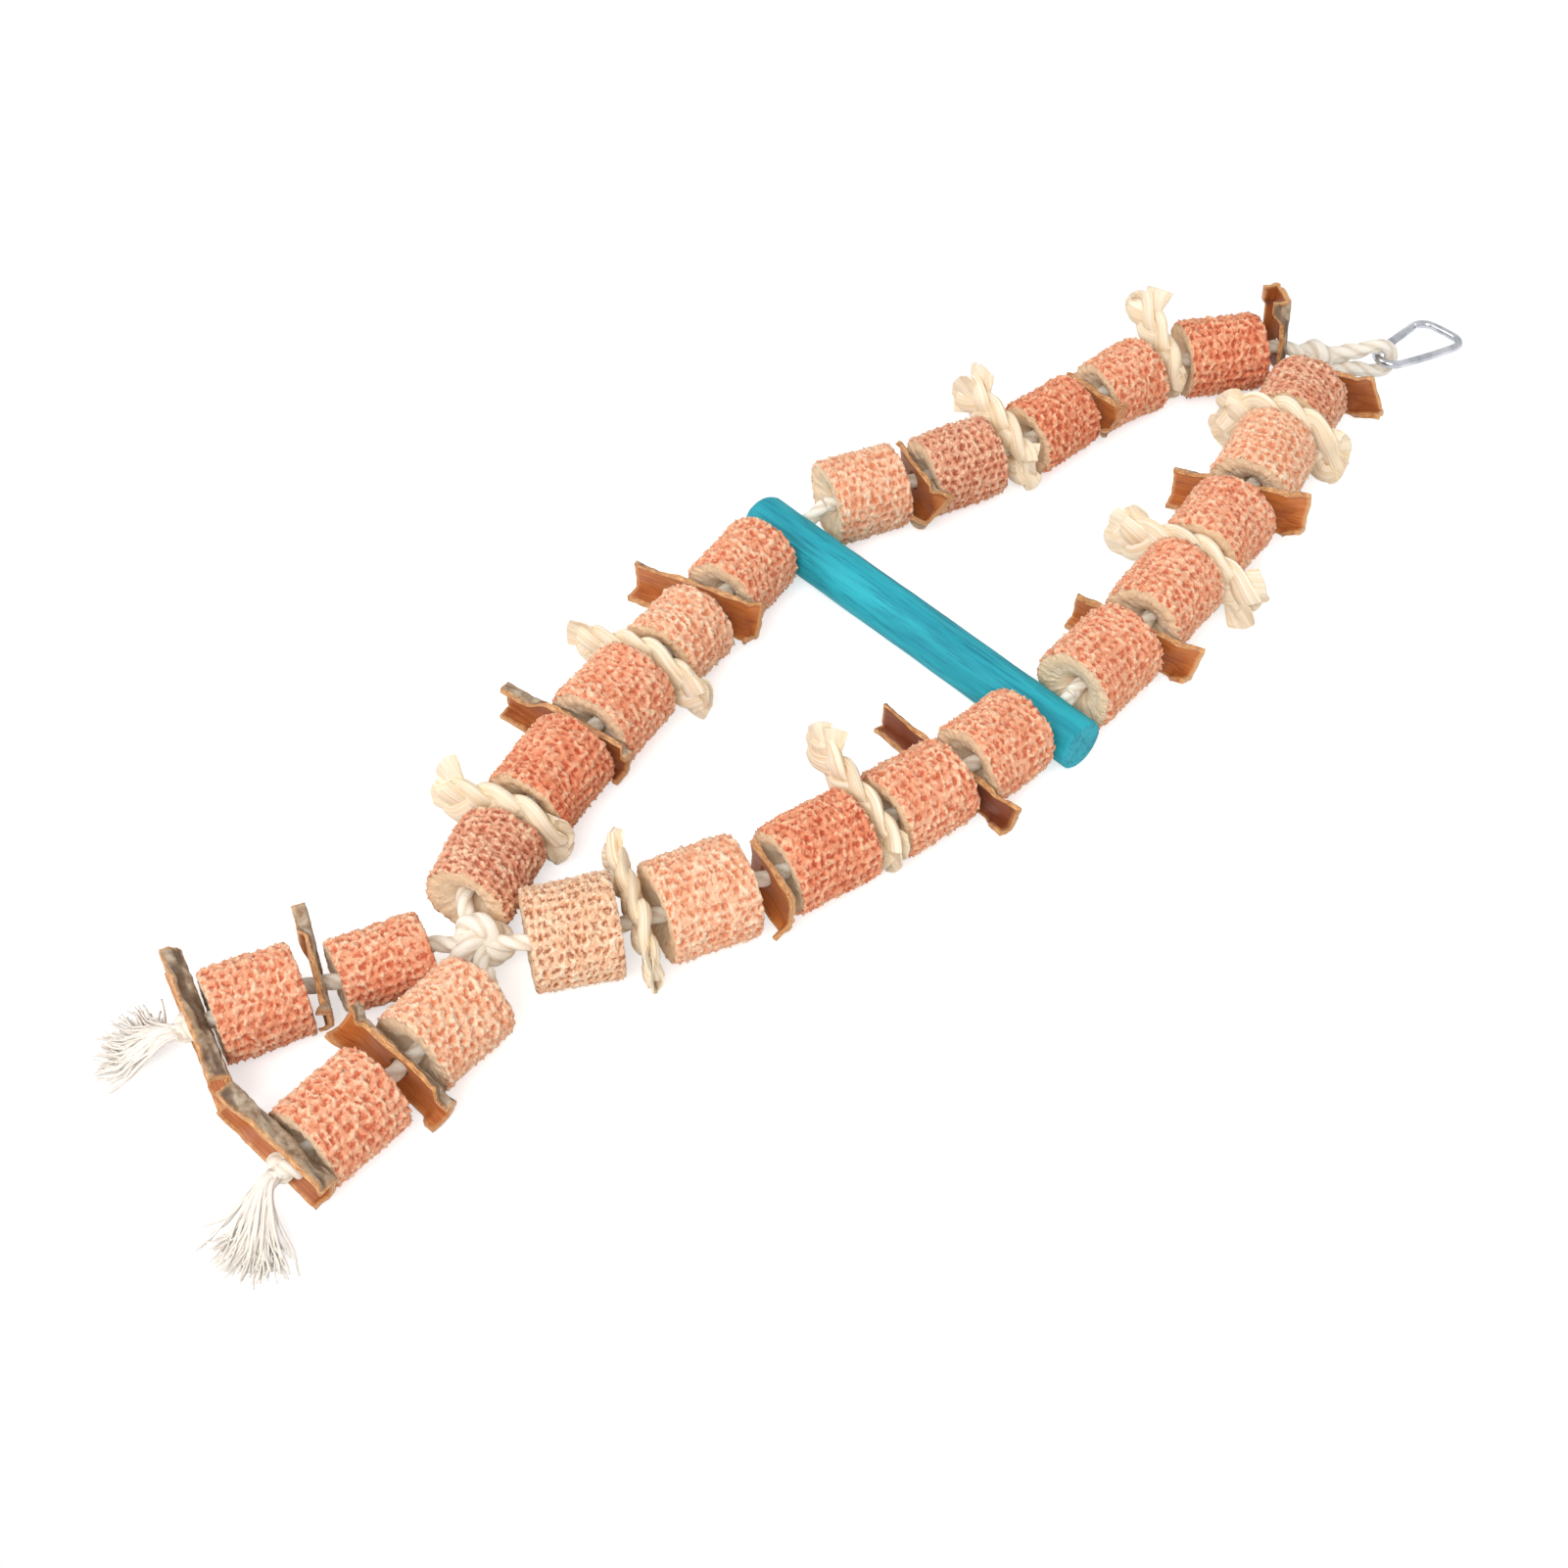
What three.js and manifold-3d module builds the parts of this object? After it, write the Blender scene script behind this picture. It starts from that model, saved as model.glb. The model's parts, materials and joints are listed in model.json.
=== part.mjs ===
import * as THREE from 'three';
import * as BufferGeometryUtils from 'three/addons/utils/BufferGeometryUtils.js';
import Module from 'manifold-3d';

// Hanging bird chew toy, laid flat: a knotted cotton rope that carries bored corn cobs, curled bark strips
// and twisted corn husks, with a dyed wooden perch across the middle and a snap hook at the top.
// Millimetres. +Z is up, +Y runs along the toy towards the hook, +X runs along the perch.

// Rope
const ROPE_DIAMETER = 5;
const ROPE_SIDES = 8;
const ROPE_STEP = 12;
const BORE_CLEARANCE = 2.4;
const BORE_REST_GAP = 0.55;
const TOUCH_GAP = 0.3;
const FACE_GAP = 0.5;

// Perch
const PERCH_LENGTH = 140;
const PERCH_DIAMETER = 16.8;
const PERCH_HOLE_INSET = 14;
const PERCH_CHAMFER = 1.2;
const PERCH_LIFT = 0.5;
const PERCH_SIDES = 20;

// Corn cobs
const COB_SIDES = 12;
const COB_EDGE = 1;
const COB_PIT_PITCH = 5.5;
const COB_PIT_DEPTH = 1.1;

// Bark strips are troughs: a flat web, two rounded corners and two walls. Widths are measured round the curl.
const BARK_WIDTH = 28;
const BARK_WEB = 10;
const BARK_CORNER = 3.5;
const BARK_THICKNESS = 1.8;

// Twisted husks
const HUSK_WIDTH = 13;
const HUSK_THICKNESS = 6.6;
const HUSK_TWIST_PITCH = 9.5;
const HUSK_TWIST_DEPTH = 1;
const HUSK_FLARE_WIDTH = 16;
const HUSK_FLARE_THICKNESS = 4;
const HUSK_FLARE_LENGTH = 12;
const HUSK_STATIONS = 9;
const HUSK_SIDES = 8;

// Knots
const KNOT_RING_RADIUS = 4.2;
const KNOT_RING_SPACING = 5;
const KNOT_RING_LEAN = 18;
const TOP_KNOT_HEIGHT = 7.5;
const TOP_KNOT_RISE = 5;
const BOTTOM_KNOT_HEIGHT = 10;
const BOTTOM_KNOT_DROP = 4;
const TAIL_JOINT_RADIUS = 3.2;
const TAIL_JOINT_REACH = 7;

// Tassels
const TASSEL_LENGTH = 21;
const TASSEL_SPREAD = 88;
const TASSEL_LOCKS = 9;
const TASSEL_LOCK_ROOT = 1.8;
const TASSEL_LOCK_TIP = 1;

// Rope loop and snap hook
const LOOP_LENGTH = 22;
const LOOP_HEADING = 38;
const LOOP_ROLL = 80;
const LOOP_LIFT = 0.4;
const LOOP_CLEARANCE = 1;
const HOOK_WIRE = 2.8;
const HOOK_LENGTH = 37;
const HOOK_WIDTH = 21;
const HOOK_NARROW_RADIUS = 5.2;
const HOOK_CORNER_RADIUS = 5;
const HOOK_HEADING = 4;
const HOOK_ROLL = 5;
const HOOK_DIP = 8;
const GATE_DIAMETER = 3.2;
const GATE_TONGUE = 1.2;
const GATE_FORK_LENGTH = 2.2;
const GATE_END = 1.6;
const GATE_SWING_GAP = 1;
const GATE_NOSE_GAP = 0.4;
const PIN_DIAMETER = 1.2;
const PIN_CLEARANCE = 0.3;

// A string is a list of beads in the order they sit on the rope, counted away from the perch or the knot.
// heading is the way a cob points, in degrees from the toy's long axis towards +X.
// A strip or husk reaches left of the rope (towards -X) and right of it, and turn rolls its right end up
// about the rope. A strip curls through arc between the cobs and leftArc and rightArc past them, hangs drop
// below its hole and is set askew by yaw, and wide is its share of the full strip width. A husk's ends sag
// below its middle. slack is spare rope that shows beside a bead.
const cob = (name, length, diameter, heading) => ({ kind: 'cob', name, length, diameter, heading });
const bark = (name, reach, turn, arcs, more = {}) => ({
  kind: 'bark', name, left: reach[0], right: reach[1], turn,
  arc: arcs[0], leftArc: arcs[1], rightArc: arcs[2], wide: 1, drop: 0, yaw: 0, slack: 0, ...more,
});
const husk = (name, reach, turn, sag, slack = 0) => ({
  kind: 'husk', name, left: reach[0], right: reach[1], turn, leftSag: sag[0], rightSag: sag[1], slack,
});

// A lead is the bare rope before the first bead. Past the perch it also gives endX, the place across the toy
// where the strand's last bead ends, beside its knot.
const UPPER_LEFT_LEAD = { gap: 1.5, heading: 6, endX: -2.13 };
const UPPER_LEFT = [
  cob('cob_left_5', 25.5, 28.5, 22),
  bark('bark_left_3', [10, 18], 2, [78, 78, 180]),
  cob('cob_left_4', 26, 27.5, 18),
  husk('husk_left_2', [27, 13], -26, [3, 0], 2),
  cob('cob_left_3', 25, 26, 2),
  bark('bark_left_2', [10, 14], 4, [95, 95, 165], { wide: 0.8 }),
  cob('cob_left_2', 23, 26, 9),
  husk('husk_left_1', [26, 10], -39, [3, 0]),
  cob('cob_left_1', 28, 27, 31),
  bark('bark_left_1', [9, 21], 98, [95, 95, 190], { wide: 0.8, slack: 3 }),
];
const UPPER_RIGHT_LEAD = { gap: 0.7, heading: 0, endX: 16.54 };
const UPPER_RIGHT = [
  cob('cob_right_5', 28.5, 29, -5),
  bark('bark_right_3', [23, 22], 2, [84, 165, 170], { wide: 0.8, drop: 2.6 }),
  cob('cob_right_4', 28, 29, -11),
  husk('husk_right_2', [28, 24], -10, [6, 2]),
  cob('cob_right_3', 26.5, 29.5, -13),
  bark('bark_right_2', [25, 22], 9, [83, 170, 175], { wide: 0.9, drop: 0.5, slack: 1 }),
  cob('cob_right_2', 28, 29, -19),
  husk('husk_right_1', [22, 23], -2, [4, 4]),
  cob('cob_right_1', 22, 28.5, -17),
  bark('bark_right_1', [11, 22], 8, [89, 89, 165], { wide: 0.8, drop: 1 }),
];
const LOWER_LEFT_LEAD = { gap: 0.7, heading: 12, endX: -8.34 };
const LOWER_LEFT = [
  cob('cob_left_6', 26, 27, 13),
  bark('bark_left_4', [30, 18], 7, [87, 175, 180], { wide: 0.9, drop: 0.2, slack: 3 }),
  cob('cob_left_7', 22, 27.5, 12),
  husk('husk_left_3', [27, 22], 0, [4, 4], 3),
  cob('cob_left_8', 25.5, 30, 14),
  bark('bark_left_5', [28, 16], -8, [60, 175, 160], { wide: 0.8, drop: 0.6 }),
  cob('cob_left_9', 28.5, 28.5, 16),
  husk('husk_left_4', [26, 16], -8, [4, 1]),
  cob('cob_left_10', 27, 27, 24),
];
const LOWER_RIGHT_LEAD = { gap: 0.7, heading: -2, endX: 14.67 };
const LOWER_RIGHT = [
  cob('cob_right_6', 24.5, 28.5, -3),
  bark('bark_right_4', [34, 24], 3, [45, 165, 165], { wide: 0.65, drop: 2 }),
  cob('cob_right_7', 26, 28, -6),
  husk('husk_right_3', [31, 13], -29, [3, 0]),
  cob('cob_right_8', 28, 29, -11),
  bark('bark_right_5', [9, 15], 0, [75, 75, 115]),
  cob('cob_right_9', 27.5, 31, -20),
  husk('husk_right_4', [27, 20], -10, [4, 2]),
  cob('cob_right_10', 26, 31, -31),
];
const TAIL_LEFT_LEAD = { gap: 4.5, heading: -37 };
const TAIL_LEFT = [
  cob('cob_tail_left_1', 27, 22.5, -18),
  bark('bark_tail_left_1', [26, 12], -5, [50, 215, 150], { wide: 0.6, drop: 1, yaw: 8 }),
  cob('cob_tail_left_2', 26, 27.5, -19),
  bark('bark_tail_left_2', [25, 24], 0, [56, 150, 150], { wide: 0.8, drop: 1 }),
];
const TAIL_RIGHT_LEAD = { gap: 9.5, heading: 52 };
const TAIL_RIGHT = [
  cob('cob_tail_right_1', 27, 27.5, 7),
  bark('bark_tail_right_1', [20.5, 19], -14, [90, 180, 170], { wide: 0.9, drop: -0.6, slack: 4 }),
  cob('cob_tail_right_2', 27.5, 27.5, 5),
  bark('bark_tail_right_2', [25, 14], -12, [42, 160, 160], { wide: 0.85, drop: -1.2 }),
];
const TASSEL_FAN = { left: -44, right: 27 };

// Colours of the real pieces
const COB_COLOURS = [0xd98a6c, 0xcf7a5c, 0xe0997a, 0xd4836a];
const BARK_COLOUR = 0x9a6236;
const HUSK_COLOUR = 0xe9d9ae;
const ROPE_COLOUR = 0xeee6d6;
const PERCH_COLOUR = 0x1fa6b2;
const METAL_COLOUR = 0xc9ccd2;

const wasm = await Module();
wasm.setup();

const UP = new THREE.Vector3(0, 0, 1);
const rad = THREE.MathUtils.degToRad;
const boreRadius = (ROPE_DIAMETER + BORE_CLEARANCE) / 2;
const toy = new THREE.Group();

// Closed meshes in and out of the boolean library
function weld(geometry) {
  const bare = geometry.clone();
  bare.deleteAttribute('normal');
  bare.deleteAttribute('uv');
  return BufferGeometryUtils.mergeVertices(bare, 1e-4);
}
function solid(geometry) {
  const welded = weld(geometry);
  const vertProperties = new Float32Array(welded.attributes.position.array);
  const triVerts = new Uint32Array(welded.index.array);
  return new wasm.Manifold(new wasm.Mesh({ numProp: 3, vertProperties, triVerts }));
}
function shape(body) {
  const mesh = body.getMesh();
  const geometry = new THREE.BufferGeometry();
  geometry.setAttribute('position', new THREE.BufferAttribute(new Float32Array(mesh.vertProperties), 3));
  geometry.setIndex(new THREE.BufferAttribute(new Uint32Array(mesh.triVerts), 1));
  return geometry;
}
function turnedOut(geometry) {
  const welded = weld(geometry);
  const p = welded.attributes.position;
  const index = welded.index.array;
  const [a, b, c] = [new THREE.Vector3(), new THREE.Vector3(), new THREE.Vector3()];
  let volume = 0;
  for (let i = 0; i < index.length; i += 3) {
    a.fromBufferAttribute(p, index[i]);
    b.fromBufferAttribute(p, index[i + 1]);
    c.fromBufferAttribute(p, index[i + 2]);
    volume += a.dot(b.cross(c));
  }
  if (volume < 0) {
    for (let i = 0; i < index.length; i += 3) [index[i], index[i + 1]] = [index[i + 1], index[i]];
  }
  return welded;
}
function addPiece(name, geometry, colour, metalness = 0, roughness = 0.85) {
  const material = new THREE.MeshStandardMaterial({ color: colour, metalness, roughness });
  const mesh = new THREE.Mesh(geometry, material);
  mesh.name = name;
  toy.add(mesh);
  return mesh;
}

// A rod between two points, as a prism of the given sides
function rod(from, to, radius, sides, tipRadius = radius) {
  const along = new THREE.Vector3().subVectors(to, from);
  const geometry = new THREE.CylinderGeometry(tipRadius, radius, along.length(), sides);
  const upright = new THREE.Vector3(0, 1, 0);
  geometry.applyQuaternion(new THREE.Quaternion().setFromUnitVectors(upright, along.clone().normalize()));
  const middle = new THREE.Vector3().addVectors(from, to).multiplyScalar(0.5);
  geometry.translate(middle.x, middle.y, middle.z);
  return geometry;
}
function tube(points, diameter, step, sides) {
  const path = new THREE.CatmullRomCurve3(points, false, 'centripetal');
  const corners = [];
  for (let i = 0; i < sides; i += 1) {
    const angle = 2 * Math.PI * (i + 0.5) / sides;
    corners.push(new THREE.Vector2(Math.cos(angle), Math.sin(angle)).multiplyScalar(diameter / 2));
  }
  const steps = Math.max(2, Math.round(path.getLength() / step));
  const options = { steps, extrudePath: path, bevelEnabled: false };
  return turnedOut(new THREE.ExtrudeGeometry(new THREE.Shape(corners), options));
}
function ring(centre, axis, radius, thickness) {
  const geometry = new THREE.TorusGeometry(radius, thickness / 2, 6, 10);
  geometry.applyQuaternion(new THREE.Quaternion().setFromUnitVectors(UP, axis));
  geometry.translate(centre.x, centre.y, centre.z);
  return turnedOut(geometry);
}

// Cob: a bored prism with eased edges and a pit in every cell of its sides. It lies on one plain flat.
function cobRings(bead) {
  const r = bead.diameter / 2;
  const half = bead.length / 2;
  const rows = Math.round(2 * (half - COB_EDGE) / COB_PIT_PITCH);
  const rings = [{ r: boreRadius, y: -half }, { r: r - COB_EDGE, y: -half }];
  for (let i = 0; i <= rows; i += 1) {
    rings.push({ r, y: (half - COB_EDGE) * (2 * i / rows - 1), pitted: i < rows });
  }
  return [...rings, { r: r - COB_EDGE, y: half }, { r: boreRadius, y: half }];
}
function cobGeometry(bead) {
  const rings = cobRings(bead);
  const spot = (radius, y, step) => {
    const angle = Math.PI * (2 * step + 1) / COB_SIDES;
    return new THREE.Vector3(radius * Math.sin(angle), y, radius * Math.cos(angle));
  };
  const steps = [...Array(COB_SIDES).keys()];
  const points = rings.flatMap((ring) => steps.map((step) => spot(ring.r, ring.y, step)));
  const restStep = COB_SIDES / 2 - 1;
  const at = (i, step) => (i % rings.length) * COB_SIDES + (step % COB_SIDES);
  const index = [];
  rings.forEach((ring, i) => steps.forEach((step) => {
    const corners = [at(i, step), at(i, step + 1), at(i + 1, step + 1), at(i + 1, step)];
    if (!ring.pitted || step === restStep) {
      index.push(corners[0], corners[1], corners[2], corners[0], corners[2], corners[3]);
      return;
    }
    const y = (ring.y + rings[i + 1].y) / 2;
    const pit = points.push(spot(flatOf(ring.r) - COB_PIT_DEPTH, y, step + 0.5)) - 1;
    corners.forEach((corner, k) => index.push(corner, corners[(k + 1) % corners.length], pit));
  }));
  const geometry = new THREE.BufferGeometry().setFromPoints(points);
  geometry.setIndex(index);
  return turnedOut(geometry);
}
const flatOf = (radius) => radius * Math.cos(Math.PI / COB_SIDES);
const cobHeight = (bead) => flatOf(bead.diameter / 2);
// The rope lies low in every bore
const ropeDrop = new THREE.Vector3(0, 0, flatOf(boreRadius) - ROPE_DIAMETER / 2 - BORE_REST_GAP);

// Bark: a trough along x, hollow towards the tails (-y). It is held more open between the cobs and curls to
// its end arcs past them.
const barkWall = (BARK_WIDTH - BARK_WEB) / 2 - BARK_CORNER;
const barkRise = (arc) => BARK_CORNER * Math.sin(rad(arc) / 4) + barkWall * Math.sin(rad(arc) / 2);
const barkDepth = (bead) => bead.wide * barkRise(bead.arc) + BARK_THICKNESS;
const barkHeld = (bead) => Math.sqrt(heldRadius(bead) ** 2 - (bead.wide * (BARK_WEB + BARK_CORNER) / 2) ** 2);
function barkStations(bead, held) {
  const marks = [-bead.left, 0, bead.right];
  if (bead.left > held) marks.push(-held, -(held + bead.left) / 2);
  if (bead.right > held) marks.push(held, (held + bead.right) / 2);
  return marks.sort((p, q) => p - q);
}
// Half of the section, from the web to the end of a wall, as lengths across and down, inset by the thickness
function barkSection(wide, arc, inset) {
  const leans = [0, rad(arc) / 4, rad(arc) / 2];
  const runs = [BARK_WEB / 2, BARK_CORNER, barkWall];
  const spot = new THREE.Vector2();
  return runs.map((run, k) => {
    spot.add(new THREE.Vector2(Math.cos(leans[k]), Math.sin(leans[k])).multiplyScalar(wide * run));
    const next = leans[Math.min(k + 1, leans.length - 1)];
    const lean = (leans[k] + next) / 2;
    const reach = inset / Math.cos((next - leans[k]) / 2);
    return new THREE.Vector2(spot.x - reach * Math.sin(lean), spot.y + reach * Math.cos(lean));
  });
}
function barkGeometry(bead) {
  const held = barkHeld(bead);
  const stations = barkStations(bead, held);
  const depth = barkDepth(bead);
  const layers = [0, BARK_THICKNESS].map((inset) => stations.map((x) => {
    const [reach, endArc] = x < 0 ? [bead.left, bead.leftArc] : [bead.right, bead.rightArc];
    const past = reach > held ? Math.max(0, (Math.abs(x) - held) / (reach - held)) : 0;
    const half = barkSection(bead.wide, THREE.MathUtils.lerp(bead.arc, endArc, past), inset);
    const low = [...half].reverse().map((spot) => new THREE.Vector3(x, depth / 2 - spot.y, -spot.x));
    return [...low, ...half.map((spot) => new THREE.Vector3(x, depth / 2 - spot.y, spot.x))];
  }));
  const strip = sheet(layers[0], layers[1]);
  strip.translate(0, 0, -bead.drop);
  strip.rotateZ(-rad(bead.yaw));
  return turnedOut(strip);
}
// A closed sheet between two grids of points
function sheet(front, back) {
  const rows = front.length;
  const columns = front[0].length;
  const points = [...front.flat(), ...back.flat()];
  const index = [];
  const at = (layer, i, j) => layer * rows * columns + i * columns + j;
  const quad = (a, b, c, d) => index.push(a, b, c, a, c, d);
  for (let i = 0; i + 1 < rows; i += 1) {
    for (let j = 0; j + 1 < columns; j += 1) {
      quad(at(0, i, j), at(0, i + 1, j), at(0, i + 1, j + 1), at(0, i, j + 1));
      quad(at(1, i, j), at(1, i, j + 1), at(1, i + 1, j + 1), at(1, i + 1, j));
    }
    quad(at(0, i, 0), at(1, i, 0), at(1, i + 1, 0), at(0, i + 1, 0));
    quad(at(0, i + 1, columns - 1), at(1, i + 1, columns - 1), at(1, i, columns - 1), at(0, i, columns - 1));
  }
  for (let j = 0; j + 1 < columns; j += 1) {
    quad(at(0, 0, j + 1), at(1, 0, j + 1), at(1, 0, j), at(0, 0, j));
    quad(at(0, rows - 1, j), at(1, rows - 1, j), at(1, rows - 1, j + 1), at(0, rows - 1, j + 1));
  }
  const geometry = new THREE.BufferGeometry().setFromPoints(points);
  geometry.setIndex(index);
  return geometry;
}

// Husk: a twisted length along x, drawn in once each pitch, with flat flared ends
function huskGeometry(bead) {
  const sections = [];
  for (let i = 0; i < HUSK_STATIONS; i += 1) {
    const x = THREE.MathUtils.lerp(-bead.left, bead.right, i / (HUSK_STATIONS - 1));
    const toEnd = Math.min(x + bead.left, bead.right - x);
    const sag = x < 0 ? bead.leftSag * (x / bead.left) ** 2 : bead.rightSag * (x / bead.right) ** 2;
    const flare = Math.max(0, 1 - toEnd / HUSK_FLARE_LENGTH);
    const wave = HUSK_TWIST_DEPTH * Math.cos(2 * Math.PI * x / HUSK_TWIST_PITCH);
    const wide = THREE.MathUtils.lerp(HUSK_WIDTH + wave, HUSK_FLARE_WIDTH, flare) / 2;
    const thick = THREE.MathUtils.lerp(HUSK_THICKNESS, HUSK_FLARE_THICKNESS, flare) / 2;
    const section = [];
    for (let j = 0; j < HUSK_SIDES; j += 1) {
      const angle = 2 * Math.PI * (j + 0.5) / HUSK_SIDES;
      section.push(new THREE.Vector3(x, thick * Math.cos(angle), wide * Math.sin(angle) - sag));
    }
    sections.push(section);
  }
  return turnedOut(loft(sections));
}
function loft(sections) {
  const sides = sections[0].length;
  const index = [];
  const at = (i, j) => i * sides + (j % sides);
  for (let i = 0; i + 1 < sections.length; i += 1) {
    for (let j = 0; j < sides; j += 1) {
      index.push(at(i, j), at(i + 1, j), at(i + 1, j + 1), at(i, j), at(i + 1, j + 1), at(i, j + 1));
    }
  }
  const last = sections.length - 1;
  for (let j = 1; j + 1 < sides; j += 1) {
    index.push(at(0, 0), at(0, j), at(0, j + 1), at(last, 0), at(last, j + 1), at(last, j));
  }
  const geometry = new THREE.BufferGeometry().setFromPoints(sections.flat());
  geometry.setIndex(index);
  return geometry;
}

// Lays a string of beads out along the rope. way is +1 towards the hook and -1 towards the tails. A strip or
// husk lies square to the mean of its neighbours' headings, with room for the wedge of their end faces.
const headed = (degrees, way) => new THREE.Vector3(Math.sin(rad(degrees)), way * Math.cos(rad(degrees)), 0);
const askew = (bead) => 2 * heldRadius(bead) * Math.tan(Math.abs(rad(bead.yaw)));
const spacerDepth = (bead) => (bead.kind === 'bark' ? barkDepth(bead) + askew(bead) : HUSK_THICKNESS);
const heldRadius = (bead) => Math.max(...bead.beside.map((other) => other.diameter)) / 2 + FACE_GAP;
const mean = (values) => values.reduce((sum, value) => sum + value, 0) / values.length;
const turnBetween = (other, heading) => Math.abs(rad(other.heading - heading));
const wedge = (other, heading) => (other ? other.diameter / 2 * Math.tan(turnBetween(other, heading)) : 0);

function layString(start, lead, beads, way) {
  const here = start.clone();
  here.addScaledVector(headed(lead.heading, way), lead.gap);
  const route = [start.clone()];
  beads.forEach((bead, i) => {
    const [before, after] = [beads[i - 1], beads[i + 1]];
    let span = bead.length;
    if (bead.kind !== 'cob') {
      bead.beside = [before, after].filter(Boolean);
      bead.heading = mean(bead.beside.map((other) => other.heading));
      here.addScaledVector(headed(bead.heading, way), wedge(before, bead.heading));
      span = spacerDepth(bead) + 2 * FACE_GAP + bead.slack;
    }
    const along = headed(bead.heading, way);
    here.z = bead.kind === 'cob' ? cobHeight(bead) : mean(bead.beside.map(cobHeight));
    if (i === 0) route.push(here.clone().addScaledVector(along, -ROPE_DIAMETER / 2).sub(ropeDrop));
    if (bead.kind === 'cob') route.push(here.clone().sub(ropeDrop));
    bead.centre = here.clone().addScaledVector(along, span / 2);
    here.addScaledVector(along, span);
    if (bead.kind === 'cob') route.push(here.clone().sub(ropeDrop));
    else here.addScaledVector(along, wedge(after, bead.heading));
    if (!after) route.push(here.clone().addScaledVector(along, ROPE_DIAMETER / 2).sub(ropeDrop));
    bead.axis = along.multiplyScalar(way);
  });
  return { beads, route, end: here };
}
function beadFrame(bead) {
  const side = new THREE.Vector3().crossVectors(bead.axis, UP).normalize();
  const frame = new THREE.Matrix4().makeBasis(side, bead.axis, UP);
  const turn = new THREE.Matrix4().makeRotationAxis(bead.axis, -rad(bead.turn ?? 0));
  return turn.multiply(frame).setPosition(bead.centre);
}
function placeBead(bead, colour) {
  let geometry;
  if (bead.kind === 'cob') {
    geometry = cobGeometry(bead);
  } else {
    geometry = bead.kind === 'bark' ? barkGeometry(bead) : huskGeometry(bead);
    const reach = new THREE.Vector3(0, 2 * spacerDepth(bead), 0);
    const hole = rod(reach.clone().negate(), reach, boreRadius, COB_SIDES);
    geometry = shape(solid(geometry).subtract(solid(turnedOut(hole))));
  }
  const mesh = addPiece(bead.name, geometry, colour);
  mesh.applyMatrix4(beadFrame(bead));
}

// Perch with its two cross holes
const holeX = PERCH_LENGTH / 2 - PERCH_HOLE_INSET;
const perchHeight = PERCH_DIAMETER / 2 + PERCH_LIFT;
const perchCentre = new THREE.Vector3(0, 0, perchHeight);
const perchHole = {
  left: new THREE.Vector3(-holeX, 0, perchHeight),
  right: new THREE.Vector3(holeX, 0, perchHeight),
};
const perchR = PERCH_DIAMETER / 2;
const perchProfile = [
  [0, -PERCH_LENGTH / 2], [perchR - PERCH_CHAMFER, -PERCH_LENGTH / 2],
  [perchR, -PERCH_LENGTH / 2 + PERCH_CHAMFER], [perchR, PERCH_LENGTH / 2 - PERCH_CHAMFER],
  [perchR - PERCH_CHAMFER, PERCH_LENGTH / 2], [0, PERCH_LENGTH / 2],
].map(([x, y]) => new THREE.Vector2(x, y));
const perchDowel = new THREE.LatheGeometry(perchProfile, PERCH_SIDES);
perchDowel.rotateZ(-Math.PI / 2);
perchDowel.translate(perchCentre.x, perchCentre.y, perchCentre.z);
let perchBody = solid(turnedOut(perchDowel));
const holeReach = new THREE.Vector3(0, PERCH_DIAMETER, 0);
for (const hole of Object.values(perchHole)) {
  const [from, to] = [hole.clone().sub(holeReach), hole.clone().add(holeReach)];
  perchBody = perchBody.subtract(solid(turnedOut(rod(from, to, boreRadius, COB_SIDES))));
}
addPiece('perch', shape(perchBody), PERCH_COLOUR, 0, 0.6);

// The rope's stretches meet round the perch on a drum about its axis, so that each half can fold about it
function perchDrum(radius) {
  const reach = new THREE.Vector3(PERCH_LENGTH, 0, 0);
  return solid(turnedOut(rod(perchCentre.clone().sub(reach), perchCentre.clone().add(reach), radius, 40)));
}
for (const [side, hole] of Object.entries(perchHole)) {
  const route = [hole.clone().sub(holeReach), hole, hole.clone().add(holeReach)];
  const through = tube(route, ROPE_DIAMETER, ROPE_STEP, ROPE_SIDES);
  addPiece(`rope_perch_${side}`, shape(solid(through).intersect(perchDrum(perchR))), ROPE_COLOUR);
}

// Strings of beads above and below the perch, each leaned from its listed headings until it ends at its endX
function fromPerch(hole, lead, beads, way) {
  const gap = perchR + wedge(beads[0], 0) + lead.gap;
  const drawn = layString(hole, { gap, heading: lead.heading }, beads, way);
  const length = Math.hypot(drawn.end.x - hole.x, drawn.end.y - hole.y);
  const headingTo = (x) => THREE.MathUtils.radToDeg(Math.asin((x - hole.x) / length));
  const lean = headingTo(lead.endX) - headingTo(drawn.end.x);
  const leaned = beads.map((bead) => ({ ...bead, heading: bead.heading + lean }));
  return layString(hole, { gap, heading: lead.heading + lean }, leaned, way);
}
const upperLeft = fromPerch(perchHole.left, UPPER_LEFT_LEAD, UPPER_LEFT, 1);
const upperRight = fromPerch(perchHole.right, UPPER_RIGHT_LEAD, UPPER_RIGHT, 1);
const lowerLeft = fromPerch(perchHole.left, LOWER_LEFT_LEAD, LOWER_LEFT, -1);
const lowerRight = fromPerch(perchHole.right, LOWER_RIGHT_LEAD, LOWER_RIGHT, -1);

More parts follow.
